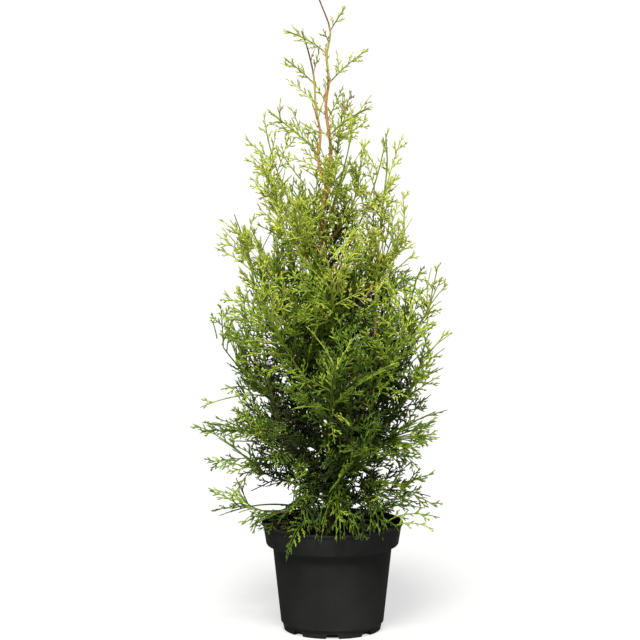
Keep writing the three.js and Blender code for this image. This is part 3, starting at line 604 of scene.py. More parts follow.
def branched(parents, rng, kind):
    """The next twigs of every parent, leaving it in turn to either side in its plane."""
    first, last, widest = kind["first"], kind["last"], kind["widest"]
    at_foot, gained = BRANCHING["swell"]
    steep, flatter = BRANCHING["lean"]
    strays, tips = BRANCHING["stray"], BRANCHING["tip"]
    counts = np.maximum(0, np.floor(parents.length * (last - first) / kind["pitch"])).astype(int)
    row = np.repeat(np.arange(len(parents)), counts)
    order = np.arange(len(row)) - np.repeat(np.cumsum(counts) - counts, counts)
    s = first + (order + 0.5 + rng.uniform(-0.2, 0.2, len(row))) * kind["pitch"] / parents.length[row]
    swell = np.minimum(1, at_foot + gained * s / widest)
    fade = np.minimum(1, (kind["fade"] - s) / (kind["fade"] - widest))
    most = np.minimum(parents.length[row] * kind["share"] * parents.fullness[row], kind["longest"])
    length = most * swell * fade * rng.uniform(*BRANCHING["length"], len(row))
    length = length * np.where(order % 4 < 2, 1, kind["every_second"])
    keep = (length > kind["shortest"]) & (s < last)
    row, order, s, length = row[keep], order[keep], s[keep], length[keep]
    side = np.where(order % 2 == 0, 1.0, -1.0)[:, None]
    tangent = parents.along(row, s)
    across = across_part(parents.across[row], tangent)
    lean = kind["angle"] * (steep - flatter * s) + rng.uniform(-strays, strays, len(row))
    lean = np.radians(lean)[:, None]
    axis = tangent * np.cos(lean) + side * across * np.sin(lean)
    forward = tangent * np.sin(lean) - side * across * np.cos(lean)
    normal = np.cross(forward, axis) * side
    tip = rng.uniform(-tips, tips, len(row))[:, None]
    normal = across_part(normal + tip * forward, axis)
    forward = across_part(across_part(forward, normal), axis)
    return Twigs(root=parents.at(row, s), axis=axis, across=forward, normal=normal, length=length,
                 bend=rng.uniform(*kind["bend"], len(row)),
                 droop=rng.uniform(*BRANCHING["droop"], len(row)),
                 width=parents.width[row] * kind["width"] / TWIG_WIDTH,
                 fullness=np.ones(len(row)), tint=parents.tint[row], outer=s)


def band_faces(bands, sides):
    """The triangles between the rings of a tube, band by band and side by side."""
    faces = []
    for i in range(bands):
        for k in range(sides):
            a, b = i * sides + k, i * sides + (k + 1) % sides
            faces += [(a, b, a + sides), (b, b + sides, a + sides)]
    return faces


# A ribbon's sides, how wide it is between its teeth, and what its width loses up to its tip.
RIBBON = {"sides": 3, "tooth": 0.8, "taper": 0.3}


def leafy_mesh(twigs, rings, thickness):
    """Vertices and faces of scale-leaved ribbons: a keeled band with a toothed edge and a blunt tip."""
    n, sides = len(twigs), RIBBON["sides"]
    corners = np.arange(sides) * 2 * math.pi / sides - math.pi / 6
    wide, high = np.cos(corners), np.sin(corners)
    verts = np.empty((n, rings * sides + 1, 3))
    row = np.arange(n)
    for i in range(rings):
        share = i / (rings - 0.4)
        s = np.full(n, share)
        centre = twigs.at(row, s)
        tangent = twigs.along(row, s)
        across = across_part(twigs.across, tangent)
        normal = np.cross(tangent, across)
        tooth = 1.0 if i % 2 else RIBBON["tooth"]
        taper = 1 - RIBBON["taper"] * share
        half = (twigs.width * tooth * taper / 2)[:, None]
        keel = (twigs.width * taper * thickness / 2)[:, None]
        for k in range(sides):
            verts[:, i * sides + k] = centre + across * half * wide[k] + normal * keel * high[k]
    verts[:, -1] = twigs.at(row, np.ones(n))
    faces = [(0, k + 1, k) for k in range(1, sides - 1)] + band_faces(rings - 1, sides)
    last = (rings - 1) * sides
    faces += [(last + k, last + (k + 1) % sides, rings * sides) for k in range(sides)]
    faces = np.array(faces)
    offsets = (np.arange(n) * (rings * sides + 1))[:, None, None]
    return verts.reshape(-1, 3), (faces[None] + offsets).reshape(-1, 3), np.repeat(twigs.tint, len(faces))


def mesh_from(name, parts, materials, smooth=False):
    """One object from several parts: vertices in millimetres, triangles, the material number of each and,
    on bark, the place round and along the limb of each triangle's corners."""
    verts = np.vstack([part[0] for part in parts]) * MM
    starts = np.cumsum([0] + [len(part[0]) for part in parts])
    tris = np.vstack([part[1] + start for part, start in zip(parts, starts)])
    slots = np.concatenate([part[2] for part in parts])
    mesh = bpy.data.meshes.new(name)
    mesh.vertices.add(len(verts))
    mesh.vertices.foreach_set("co", verts.astype(np.float32).ravel())
    mesh.loops.add(3 * len(tris))
    mesh.loops.foreach_set("vertex_index", tris.astype(np.int32).ravel())
    mesh.polygons.add(len(tris))
    mesh.polygons.foreach_set("loop_start", np.arange(0, 3 * len(tris), 3, dtype=np.int32))
    mesh.polygons.foreach_set("material_index", slots.astype(np.int32))
    for material in materials:
        mesh.materials.append(material)
    if len(parts[0]) > 3:
        around = mesh.uv_layers.new(name="limb")
        places = np.concatenate([part[3].reshape(-1, 2) for part in parts])
        around.data.foreach_set("uv", places.astype(np.float32).ravel())
    mesh.update(calc_edges=True)
    mesh.validate()
    if smooth:
        mesh.polygons.foreach_set("use_smooth", np.ones(len(tris), bool))
    made = bpy.data.objects.new(name, mesh)
    bpy.context.scene.collection.objects.link(made)
    return made


# ---- Materials ---------------------------------------------------


def linear(hex_colour):
    """An sRGB hex colour as linear red, green, blue and alpha."""
    parts = [int(hex_colour[i:i + 2], 16) / 255 for i in (0, 2, 4)]
    lit = [c / 12.92 if c <= 0.04045 else ((c + 0.055) / 1.055) ** 2.4 for c in parts]
    return (*lit, 1.0)


def node(tree, kind, settings=None, links=None, **values):
    """Adds a node with its settings, its inputs' values and the links into it."""
    made = tree.nodes.new(kind)
    for key, value in (settings or {}).items():
        setattr(made, key, value)
    for key, value in values.items():
        made.inputs[key.replace("_", " ")].default_value = value
    for key, source in (links or {}).items():
        tree.links.new(source, made.inputs[key])
    return made


def new_material(name):
    material = bpy.data.materials.new(name)
    material.use_nodes = True
    tree = material.node_tree
    return material, tree, tree.nodes["Principled BSDF"]


def two_tones(tree, shader, pattern, dark, light, places):
    """A base colour that goes from dark to light over a pattern, between two places on its scale."""
    ramp = node(tree, "ShaderNodeValToRGB", links={"Fac": pattern})
    for element, place, colour in zip(ramp.color_ramp.elements, places, (dark, light)):
        element.position = place
        element.color = colour
    tree.links.new(ramp.outputs["Color"], shader.inputs["Base Color"])


def relief(tree, shader, pattern, strength, depth):
    """Bumps after a pattern, as deep as depth in millimetres."""
    bump = node(tree, "ShaderNodeBump", links={"Height": pattern}, Strength=strength, Distance=depth * MM)
    tree.links.new(bump.outputs["Normal"], shader.inputs["Normal"])


# The greens from the lightest to the deepest, partly the foliage's own range and partly lit and shaded copies
# dealt out as painted light and shade, and the bronze that winter leaves on a tip.
GREENS = {"lemon": "acb04e", "lime": "96a538", "fresh": "7b9328", "leaf": "61791a", "moss": "485f15",
          "deep": "384b14", "shade": "273213", "bronze": "8f7b3c"}
TINTS = list(GREENS)
LEMON, LIME, SHADE, BRONZE = (TINTS.index(tint) for tint in ("lemon", "lime", "shade", "bronze"))


def scale_leaf_material(tint):
    """Waxy scale leaves: a soft satin green, a little mottled from leaf to leaf."""
    material, tree, shader = new_material(f"scale leaves {tint}")
    colour = linear(GREENS[tint])
    place = node(tree, "ShaderNodeTexCoord")
    mottle = node(tree, "ShaderNodeTexNoise", links={"Vector": place.outputs["Object"]}, Scale=260.0,
                  Detail=2.0)
    darker = tuple(0.62 * c for c in colour[:3]) + (1.0,)
    lit = tuple(min(1.0, 1.3 * c) for c in colour[:3]) + (1.0,)
    two_tones(tree, shader, mottle.outputs["Fac"], darker, lit, (0.3, 0.7))
    shader.inputs["Roughness"].default_value = 0.55
    shader.inputs["Specular IOR Level"].default_value = 0.18
    return material


def bark_material(name, dark, light, ridge):
    """Thin fibrous bark: streaks of light and dark that run along the limb, a ridge apart in
    millimetres."""
    material, tree, shader = new_material(name)
    place = node(tree, "ShaderNodeUVMap", settings={"uv_map": "limb"})
    stretch = node(tree, "ShaderNodeMapping", links={"Vector": place.outputs["UV"]},
                   Scale=(1.0, 0.12, 1.0))
    streaks = node(tree, "ShaderNodeTexNoise", links={"Vector": stretch.outputs["Vector"]},
                   Scale=1 / (ridge * MM), Detail=6.0, Roughness=0.65)
    two_tones(tree, shader, streaks.outputs["Fac"], linear(dark), linear(light), (0.32, 0.68))
    relief(tree, shader, streaks.outputs["Fac"], 0.5, 0.5)
    shader.inputs["Roughness"].default_value = 0.8
    return material


def pot_material():
    """Black injection-moulded polypropylene: satin, with a very fine grain and a trace of dust."""
    material, tree, shader = new_material("moulded black polypropylene")
    place = node(tree, "ShaderNodeTexCoord")
    grain = node(tree, "ShaderNodeTexNoise", links={"Vector": place.outputs["Object"]}, Scale=900.0,
                 Detail=2.0)
    dust = node(tree, "ShaderNodeTexNoise", links={"Vector": place.outputs["Object"]}, Scale=14.0,
                Detail=5.0)
    two_tones(tree, shader, dust.outputs["Fac"], linear("1e1e1e"), linear("272726"), (0.35, 0.8))
    relief(tree, shader, grain.outputs["Fac"], 0.12, 0.2)
    rough = node(tree, "ShaderNodeMapRange", links={"Value": dust.outputs["Fac"]}, To_Min=0.6,
                 To_Max=0.72)
    tree.links.new(rough.outputs["Result"], shader.inputs["Roughness"])
    shader.inputs["Specular IOR Level"].default_value = 0.01
    return material


def compost_material(name, dark, light):
    """Moist peat: matt crumbs from near-black to red-brown."""
    material, tree, shader = new_material(name)
    place = node(tree, "ShaderNodeTexCoord")
    crumbs = node(tree, "ShaderNodeTexVoronoi", links={"Vector": place.outputs["Object"]}, Scale=260.0)
    two_tones(tree, shader, crumbs.outputs["Color"], linear(dark), linear(light), (0.2, 0.85))
    fine = node(tree, "ShaderNodeTexNoise", links={"Vector": place.outputs["Object"]}, Scale=700.0,
                Detail=4.0)
    relief(tree, shader, fine.outputs["Fac"], 0.8, 1)
    shader.inputs["Roughness"].default_value = 0.9
    return material


# ---- Foliage -----------------------------------------------------

leaf_materials = [scale_leaf_material(tint) for tint in TINTS]

SPRAYS_AT_ONCE = 40
MOST_TRIANGLES = 180000  # in one piece
SHORT_TWIG = 58
FULL_LEADER_SPRAYS = ("leader_spray_1", "leader_spray_5")
# Painted light: sprays that stand out are dealt lighter greens, as if in the light.
IN_LIGHT = -0.6  # of sprays that stand out: the opposite of deep inside
TO_FRONT = (0, -1, 0.25)
SPRAY_WIDTH = {"slim": 1.9, "leader": 2.1, "inner": 2.8, "others": 2.4}
# How sprays bend in their plane, droop out of it and how full their branchlets are.
SPRAY_CURVE = {"bend": 0.1, "droop": (-0.05, 0.16), "fullness": (0.72, 1.12)}
# A spray's tint, with painted light and shade: how much lighter it is further out than the middle, where the
# light falls, what it loses deep inside as painted shade and what is left of that by height, how much it
# strays, the tint with no light, and how many tints light takes off it.
TINT = {"outer": 0.9, "middle": 0.58, "inside": 0.5, "inside_left": ((520, 600), (1, 0.3)), "stray": 0.15,
        "unlit": 6, "range": 5.4}
# New growth: how often a tip is a tint lighter, near its parent's foot and what that gains towards the end,
# the height from which it may be the lightest green, as painted light high in the crown, and how often it is
# bronzed, from which height.
NEW_GROWTH = {"lighter": (0.1, 0.5), "lemon_from": 430, "bronze_from": 690, "bronzed": (0.2, 0.007)}
# Sprays aimed at a tip: the first and last share of a stem or a mass they may leave, how many places are
# tried there, how much of the length wanted is meant, what a lean away from the limb costs, how far the
# arch turns them up at the root, how little they bend, and how full they are.
AIMED = {"on_stem": 0.04, "on_mass": 0.3, "last": 0.97, "places": 40, "wanted": 0.88, "lean_cost": 0.6,
         "arch": 4, "bend": 0.03, "fullness": (0.64, 0.92)}


def spray_tints(rng, tips, inner):
    """A spray's green, with painted light and shade: lighter high up and far out where the light falls,
    deeper low down and near the stem where the shade falls.
    """
    outer = np.hypot(tips[:, 0], tips[:, 1]) / crown_reach(tips)
    light = np.interp(tips[:, 2], *zip(*PAINTED_LIGHT_BY_HEIGHT)) + TINT["outer"] * (outer - TINT["middle"])
    light = light - TINT["inside"] * inner * np.interp(tips[:, 2], *TINT["inside_left"])
    light = light + rng.uniform(-TINT["stray"], TINT["stray"], len(tips))
    return np.clip(np.round(TINT["unlit"] - TINT["range"] * light), LIME, SHADE).astype(int)


def sprays_from(rng, root, axis, across, normal, length, sag, inner, width):
    """Sprays as twigs, with their tips sagging."""
    n, bend = len(length), SPRAY_CURVE["bend"]
    return Twigs(root=root, axis=axis, across=across, normal=normal, length=length,
                 bend=rng.uniform(-bend, bend, n) - sag * across[:, 2],
                 droop=rng.uniform(*SPRAY_CURVE["droop"], n) + sag * normal[:, 2],
                 width=np.full(n, width), fullness=rng.uniform(*SPRAY_CURVE["fullness"], n),
                 tint=spray_tints(rng, root + axis * length[:, None], inner), outer=np.ones(n))


FACING = {"up": 0.25, "out": 1.3}


def facing_out(middle, axis, normal):
    """Turns a spray about its axis so that its flat side faces more away from the stem's line."""
    out = unit(np.array([middle[0], middle[1], FACING["up"] * math.hypot(middle[0], middle[1]) + 1e-6]))
    normal = normal if np.dot(normal, out) > 0 else -normal
    normal = across_part(normal + FACING["out"] * out, axis)
    return np.cross(normal, axis), normal


def grown_sprays(mass):
    """A mass's sprays: those of the solids, then those that fill in between."""
    rng = np.random.default_rng(700 + mass["place"])
    hangs, slim = mass["tier"] == "hanging", mass["tier"] == "leader"
    frames = fill_frames(mass)
    if mass["sprays"] or slim:
        frames = spray_frames(mass) + frames
    rows = []
    for frame_ in frames:
        root, length = frame_["root"], frame_["length"]
        outside = frame_.get("outside", SPRAY["outside"])
        for i in range(SPRAY["tries"]):
            more = math.ceil(i / 2) * (1 if i % 2 else -1) * SPRAY["next_try"]
            axis, across, normal = placed_spray(frame_, more)
            if not hangs and not within_crown(root, axis, normal, length, outside):
                continue
            if frame_.get("along_surface"):
                across, normal = facing_out(root + axis * length / 2, axis, normal)
            if not hangs and (root + axis * length)[2] < LOWEST_TIP:
                length *= LOW_SPRAY
            rows.append((root, axis, across, normal, length, frame_.get("inner", 0)))
            break
    *columns, inner = [np.array(column) for column in zip(*rows)]
    width = SPRAY_WIDTH["leader" if slim else "others"]
    return rng, sprays_from(rng, *columns, SAG[mass["tier"]], inner, width)


LIMB_ROLL = 0.9  # how far a spray on the stem rolls about its axis either way, in radians


def limb_sprays(rows, seed, inner, width):
    """Sprays that grow straight from the stem or the leader."""
    rng = np.random.default_rng(seed)
    n = len(rows)
    root = np.array([point_on(LIMB_PATHS[on], share_at_height(LIMB_PATHS[on], at)) for on, at, *_ in rows])
    axis = np.array([direction_of(heading, rise) for _, _, heading, rise, _, _ in rows])
    sag = np.array([row[4] for row in rows])
    length = np.array([float(row[5]) for row in rows])
    level = np.cross(axis, np.array([0.0, 0.0, 1.0]))
    roll = rng.uniform(-LIMB_ROLL, LIMB_ROLL, n)[:, None]
    upright = np.cross(level, axis)
    across = across_part(unit(upright) * np.cos(roll) + unit(level) * np.sin(roll), axis)
    normal = np.cross(axis, across)
    return rng, sprays_from(rng, root, axis, across, normal, length, sag, inner, width)


def inner_rows():
    draw, strays = seeded_draw(7000), INNER_TWIGS["stray"]
    low, high = INNER_TWIGS["heights"]
    count = int((high - low) / INNER_TWIGS["apart"])
    rows = []
    for i in range(count):
        share = i / (count - 1)
        heading = INNER_TWIGS["first"] + INNER_TWIGS["turn"] * i + stray(draw, strays["turn"])
        rise = mix(*INNER_TWIGS["rise"], share) + stray(draw, strays["rise"])
        length = mix(*INNER_TWIGS["length"], share) * (1 + stray(draw, strays["length"]))
        sag = mix(*INNER_TWIGS["sag"], share)
        rows.append(("trunk", mix(low, high, share), heading, rise, sag, length))
    return rows


def edge_rows(rng):
    """The tips that stand out round the front and the back of the crown."""
    rows = []
    for i in range(EDGE_SPRAYS["count"]):
        heading = math.radians(SPIRAL["turn"] * i + rng.uniform(*EDGE_SPRAYS["stray"]))
        share = (i + rng.uniform(0, 1)) / EDGE_SPRAYS["count"]
        height = mix(*EDGE_SPRAYS["heights"], share)
        out = rng.uniform(*EDGE_SPRAYS["reach"])
        if abs(math.sin(heading)) < EDGE_SPRAYS["front_and_back"]:
            continue
        way = np.array([math.cos(heading), math.sin(heading)])
        x, y = way * out * crown_reach((way[0], way[1], height))
        rows.append((x, y, height, mix(*EDGE_SPRAYS["length"], share), mix(*EDGE_SPRAYS["arch"], share)))
    return rows


def aimed_sprays(rows, plan, rng, facing, twist):
    """Sprays that reach given tips, each from the limb and the place that suits it best."""
    limbs = [(path, AIMED["on_stem"]) for path in LIMB_PATHS.values()]
    limbs += [(mass["path"], AIMED["on_mass"]) for mass in plan if mass["tier"] != "hanging"]
    found = []
    for *tip, wanted, arch in rows:
        wanted *= AIMED["wanted"]
        choices = []
        for path, first in limbs:
            shares = np.linspace(first, AIMED["last"], AIMED["places"])
            roots = point_on(path, shares)
            chords = np.array(tip) - roots
            far = np.linalg.norm(chords, axis=1)
            lean = 1 - (chords * tangent_on(path, shares)).sum(1) / far
            cost = np.abs(far - wanted) / wanted + AIMED["lean_cost"] * lean
            best = int(np.argmin(cost))
            choices.append((cost[best], *roots[best], *chords[best], arch))
        found.append(min(choices)[1:])
    found = np.array(found)
    root, chord, arch = found[:, :3], found[:, 3:6], found[:, 6:]
    far = np.linalg.norm(chord, axis=1, keepdims=True)
    up = across_part(np.broadcast_to([0.0, 0.0, 1.0], chord.shape), chord / far)
    axis = unit(chord + AIMED["arch"] * arch * far * up)
    sprays = curved_sprays(rng, root, chord, axis, facing, twist, SPRAY_WIDTH["others"])
    sprays.fullness = rng.uniform(*AIMED["fullness"], len(sprays))
    return sprays


def curved_sprays(rng, root, chord, axis, facing, twist, width):
    """Sprays that leave their roots along an axis and curve to the end of a chord."""
    normal = across_part(np.array(facing) + rng.normal(0, twist, chord.shape), axis)
    across = np.cross(normal, axis)
    length, bend = (chord * axis).sum(1), AIMED["bend"]
    sprays = sprays_from(rng, root, axis, across, normal, length, np.zeros(len(length)), IN_LIGHT, width)
    sprays.bend = rng.uniform(-bend, bend, len(length)) + (chord * across).sum(1) / length
    sprays.droop = -(chord * normal).sum(1) / length
    return sprays


def path_sprays(masses, first, facing, twist, seed):
    """The side shoots that a slim mass bears along its own line."""
    rng = np.random.default_rng(seed)
    root = np.array([point_on(mass["path"], first) for mass in masses])
    chord = np.array([mass["path"][-1] for mass in masses]) - root
    axis = np.array([tangent_on(mass["path"], first) for mass in masses])
    return rng, curved_sprays(rng, root, chord, axis, facing, twist, SPRAY_WIDTH["slim"])


def lighter(twigs, rng):
    """Tips are newer growth: lighter by a step or two, the lightest green only high up as painted light, and
    now and then bronzed.
    """
    near, gained = NEW_GROWTH["lighter"]
    tint = twigs.tint - (rng.random(len(twigs)) < near + gained * twigs.outer).astype(int)
    height = twigs.root[:, 2]
    lightest = np.where(height < NEW_GROWTH["lemon_from"], LIME, LEMON)
    tint = np.where(twigs.tint == BRONZE, BRONZE, np.clip(tint, lightest, SHADE))
    bronzed = np.where(height > NEW_GROWTH["bronze_from"], *NEW_GROWTH["bronzed"])
    return np.where(rng.random(len(twigs)) < bronzed, BRONZE, tint)


def leafy_parts(sprays, rng, kinds):
    """The meshes of sprays with their branchlets and shoots, some sprays to a part."""
    parts = []
    for start in range(0, len(sprays), SPRAYS_AT_ONCE):
        some = sprays.rows(slice(start, start + SPRAYS_AT_ONCE))
        branchlets = clear_of_sky(branched(some, rng, kinds[0]))
        branchlets.tint = lighter(branchlets, rng)
        shoots = clear_of_sky(branched(branchlets, rng, kinds[1]))
        shoots.tint = lighter(shoots, rng)
        parts += [leafy_mesh(some, 12, 0.7), leafy_mesh(branchlets, 6, 0.6), leafy_mesh(shoots, 3, 0.55)]
    return parts


def foliage_by_tier(plan):
    """Every tier's leafy parts, each with the name of the solid that it stands for or with None."""
    by_tier = {}

    def add(tier, name, sprays, rng, kinds=FULL):
        by_tier.setdefault(tier, []).append((name, leafy_parts(sprays, rng, kinds)))

    for mass in plan + side_masses():
        rng, sprays = grown_sprays(mass)
        slim = mass["tier"] == "leader" and mass["name"] not in FULL_LEADER_SPRAYS
        if mass["tier"] not in ("leader", "hanging"):
            sprays = clear_of_sky(sprays)
        add(mass["tier"], None if mass["tier"] == "side" else mass["name"], sprays, rng,
            SLIM if slim else FULL)
    rng, sprays = limb_sprays(LEADER_TWIGS, 41, 0, SPRAY_WIDTH["leader"])
    short = sprays.length < SHORT_TWIG
    add("leader", None, sprays.rows(short), rng, SLIM)
    add("leader", None, sprays.rows(~short), rng)
    masses = [mass for mass in plan if mass["tier"] == "leader"]
    rng, sprays = path_sprays(masses, 0.05, TO_FRONT, 0.25, 47)
    add("leader", None, sprays, rng, SLIM)
    masses = [mass for mass in plan if mass["tier"] == "hanging"]
    rng, sprays = path_sprays(masses, 0.42, (0.1, -0.9, 0.5), 0.05, 48)
    add("hanging", None, sprays, rng, HANGING)
    # The stem's own sprays inside the crown are dealt deeper greens: painted shade.
    rng, sprays = limb_sprays(inner_rows(), 43, 0.7, SPRAY_WIDTH["inner"])
    add("inner", None, clear_of_sky(sprays), rng)
    rng = np.random.default_rng(45)
    placed = [(*tip, length, arch / 100) for *tip, length, arch in PLACED_SPRAYS]
    sprays = aimed_sprays(placed, plan, rng, TO_FRONT, 0.3)
    for part in range(0, len(sprays), 3 * SPRAYS_AT_ONCE):
        add("placed", None, sprays.rows(slice(part, part + 3 * SPRAYS_AT_ONCE)), rng)
    sprays = aimed_sprays(edge_rows(rng), plan, rng, (0, 0, 0), 1)
    add("edge", None, clear_of_sky(sprays), rng)
    return by_tier


def in_batches(grown):
    """Named parts set together, with no more triangles to a batch than one piece may have."""
    batches, size = [[]], 0
    for name, parts in grown:
        triangles = sum(len(part[1]) for part in parts)
        if batches[-1] and size + triangles > MOST_TRIANGLES:
            batches.append([])
            size = 0
        batches[-1].append((name, parts))
        size += triangles
    return batches


def add_foliage(plan):
    for tier, grown in foliage_by_tier(plan).items():
        for i, batch in enumerate(in_batches(grown)):
            piece = mesh_from(f"{tier}_sprays_{i + 1}", [part for _, parts in batch for part in parts],
                              leaf_materials)
            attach(piece, "root")
            names = [name for name, _ in batch if name]
            if names:
                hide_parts(*names)


# ---- Stem, boughs and twigs --------------------------------------


def tube(path, radius_at, sides, rings, start, end, ridge, seed, slot=0):
    """A closed tapering limb along a path, with lengthwise ridges of bark a share of its radius high."""
    shares = np.linspace(start, end, rings + 1)
    centre = point_on(path, shares)
    tangent = tangent_on(path, shares)
    across = across_part(np.broadcast_to([0.0, 1.0, 0.0], centre.shape), tangent)
    side = np.cross(tangent, across)
    angle = np.arange(sides) * 2 * math.pi / sides
    rng = np.random.default_rng(seed)
    waves = rng.uniform(0, 2 * math.pi, 5)
    run = shares[:, None] * path_length(path)
    ridges = (np.sin(5 * angle + 0.06 * run + waves[0]) + 0.7 * np.sin(9 * angle - 0.1 * run + waves[1])
              + 0.6 * np.sin(3 * angle + 0.35 * run + waves[2]) + 0.5 * np.sin(0.8 * run + waves[3]))
    radius = np.array([radius_at(s) for s in shares])[:, None] * (1 + ridge * ridges)
    ring = (centre[:, None] + across[:, None] * (np.cos(angle) * radius)[..., None]
            + side[:, None] * (np.sin(angle) * radius)[..., None])
    verts = np.vstack([ring.reshape(-1, 3), centre[:1], centre[-1:]])
    foot, tip = len(verts) - 2, len(verts) - 1
    last = rings * sides
    faces, places = band_faces(rings, sides), []
    around = 2 * math.pi * radius_at(start) * MM / sides
    for i in range(rings):
        low, high = run[i, 0] * MM, run[i + 1, 0] * MM
        for k in range(sides):
            u, v = k * around, (k + 1) * around
            places += [((u, low), (v, low), (u, high)), ((v, low), (v, high), (u, high))]
    for k in range(sides):
        faces += [(foot, (k + 1) % sides, k), (tip, last + k, last + (k + 1) % sides)]
        places += [((0, 0), (around, 0), (0, around))] * 2
    return verts, np.array(faces), np.full(len(faces), slot), np.array(places)


def trunk_radius(share):
    height = point_on(trunk_path, np.array(share))[2] - trunk_path[0][2]
    flare = TRUNK["flare"] * math.exp(-height / TRUNK["flare_height"])
    return mix(TRUNK["foot"], TRUNK["tip"], share ** TRUNK["taper"]) + flare


OLD, RUSSET, YOUNG, OLIVE, GREEN, DEEP_GREEN = range(6)
SHADED_TIERS = ("skirt", "low", "middle", "hanging")
BARK_CHANGE = 9  # how far, up and down, one bark mingles with the next

# The barks of the side stems, each with the height it starts at.
SIDE_BARKS = {
    "right": [(0, OLD), (300, RUSSET), (350, YOUNG), (446, OLIVE), (566, GREEN)],
    "left": [(0, OLD), (290, RUSSET), (330, YOUNG), (352, GREEN)],
    "right_inner": [(0, YOUNG), (562, GREEN)], "right_low": [(0, OLD), (280, GREEN)],
    "left_low": [(0, OLD), (212, GREEN)], "left_upper": [(0, RUSSET), (500, GREEN)],
    "left_rim": [(0, RUSSET), (171, DEEP_GREEN)], "front": [(0, OLD), (300, GREEN)],
    "front_low": [(0, DEEP_GREEN)], "front_low_left": [(0, DEEP_GREEN)],
    "front_low_right": [(0, DEEP_GREEN)], "others": [(0, OLD), (340, RUSSET), (430, GREEN)],
}
# Where a mass's stem turns green: at a share of a leader's spray, else between its bare part and its end.
GREEN_FROM = {"leader": 0.1, "others": 0.36}


def barked(limb, bands, seed):
    """Gives a limb its barks by height: the lowest first, each with the height it starts at."""
    verts, faces, slots, _ = limb
    mingled = np.random.default_rng(seed).uniform(-1, 1, len(faces)) * BARK_CHANGE
    height = verts[faces].mean(1)[:, 2] + mingled
    for start, bark in bands:
        slots[height > start] = bark
    return limb


def add_limbs(plan):
    barks = [
        bark_material("old grey-brown bark", "231a12", "54422f", 1.1),
        bark_material("russet inner bark", "472b18", "85583a", 1.0),
        bark_material("young orange-brown bark", "8a5a30", "c48c55", 0.9),
        bark_material("olive new bark", "7d7a2b", "a49a3c", 0.9),
        leaf_materials[TINTS.index("leaf")],
        leaf_materials[TINTS.index("deep")],
    ]

    stem = tube(trunk_path, trunk_radius, 26, 520, 0.0, 1.0, 0.06, 3)
    barked(stem, [(0, OLD), (528, RUSSET), (572, YOUNG), (745, OLIVE), (812, RUSSET)], 5)
    piece = mesh_from("stem_bark", [stem], barks, smooth=True)
    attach(piece, "root")
    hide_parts("trunk")

    leader = tube(leader_path, lambda s: mix(LEADER["foot"], LEADER["tip"], s), 14, 160, 0, 1, 0.05, 4)
    barked(leader, [(0, YOUNG), (700, OLIVE), (748, RUSSET)], 6)
    piece = mesh_from("second_leader_bark", [leader], barks, smooth=True)
    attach(piece, "root")
    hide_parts("second_leader")

    sides = []
    for i, stem in enumerate(SIDE_STEMS):
        limb = tube(LIMB_PATHS[stem["name"]], lambda s: mix(stem["foot"], stem["tip"], s**0.8), 12, 120, 0, 1,
                    0.05, 20 + i)
        sides.append(barked(limb, SIDE_BARKS.get(stem["name"], SIDE_BARKS["others"]), 30 + i))
    piece = mesh_from("side_stem_bark", sides, barks, smooth=True)
    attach(piece, "root")

    boughs, twigs, names = [], [], []
    for mass in plan:
        path, bough, shaded = mass["path"], mass["bough"], mass["tier"] in SHADED_TIERS
        foot = mix(STEM["tip"], STEM["foot"], min(1, path_length(path) / STEM["full_length"]))
        if bough:
            boughs.append(tube(path, lambda s: mix(BOUGH_FOOT, foot, s / bough), 14, 36, 0, bough, 0.06,
                               50 + mass["place"], OLD if shaded else RUSSET))
            names.append(mass["name"].replace("foliage", "bough"))
        green = GREEN_FROM["leader"] if mass["tier"] == "leader" else \
            mix(bough, STEM["end"], GREEN_FROM["others"])
        for sides, rings, start, end, ridge, bark in (
                (8, 14, bough, green, 0.04, RUSSET if shaded else YOUNG),
                (6, 16, green, STEM["end"] + 0.06, 0.03, DEEP_GREEN if shaded else GREEN)):
            twigs.append(tube(path, lambda s: mix(foot, STEM["tip"], (s - bough) / (1 - bough)), sides,
                              rings, start, end, ridge, 90 + mass["place"], bark))
    piece = mesh_from("bough_bark", boughs, barks, smooth=True)
    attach(piece, "root")
    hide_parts(*names)
    piece = mesh_from("twig_bark", twigs, barks, smooth=True)
    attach(piece, "root")


# ---- Pot and compost ---------------------------------------------


def select_only(*objects):
    bpy.ops.object.select_all(action="DESELECT")
    for chosen in objects:
        chosen.select_set(True)
    if objects:
        bpy.context.view_layer.objects.active = objects[0]


def select_edges(test):
    """In edit mode, selects the edges of the active mesh that a test picks."""
    bpy.ops.mesh.select_mode(type="EDGE")
    bpy.ops.mesh.select_all(action="DESELECT")
    mesh = bmesh.from_edit_mesh(bpy.context.edit_object.data)
    for edge in mesh.edges:
        if test(edge):
            edge.select_set(True)
    bmesh.update_edit_mesh(bpy.context.edit_object.data)


def raised_shell(name, profile, segments):
    """A round shell: a filled disc whose rim is extruded along a profile of (radius, height)."""
    select_only()
    (radius, height), *rest = profile
    bpy.ops.mesh.primitive_circle_add(vertices=segments, radius=radius * MM, fill_type="TRIFAN",
                                      location=(0, 0, height * MM))
    made = bpy.context.object
    made.name = name
    bpy.ops.object.transform_apply(location=True, rotation=True, scale=True)
    bpy.ops.object.mode_set(mode="EDIT")
    select_edges(lambda edge: edge.is_boundary)
    for next_radius, next_height in rest:
        rise = (next_height - height) * MM
        bpy.ops.mesh.extrude_edges_move(TRANSFORM_OT_translate={"value": (0, 0, rise)})
        ratio = next_radius / radius
        bpy.ops.transform.resize(value=(ratio, ratio, 1), center_override=(0, 0, next_height * MM))
        radius, height = next_radius, next_height
    bpy.ops.mesh.edge_face_add()
    bpy.ops.mesh.select_all(action="SELECT")
    bpy.ops.mesh.normals_make_consistent(inside=False)
    bpy.ops.object.mode_set(mode="OBJECT")
    return made


DRAIN = {"count": 8, "foot": 20, "top": 15, "height": 6.4, "inner_radius": 55, "outer_radius": 72,
         "corner": 1.8}


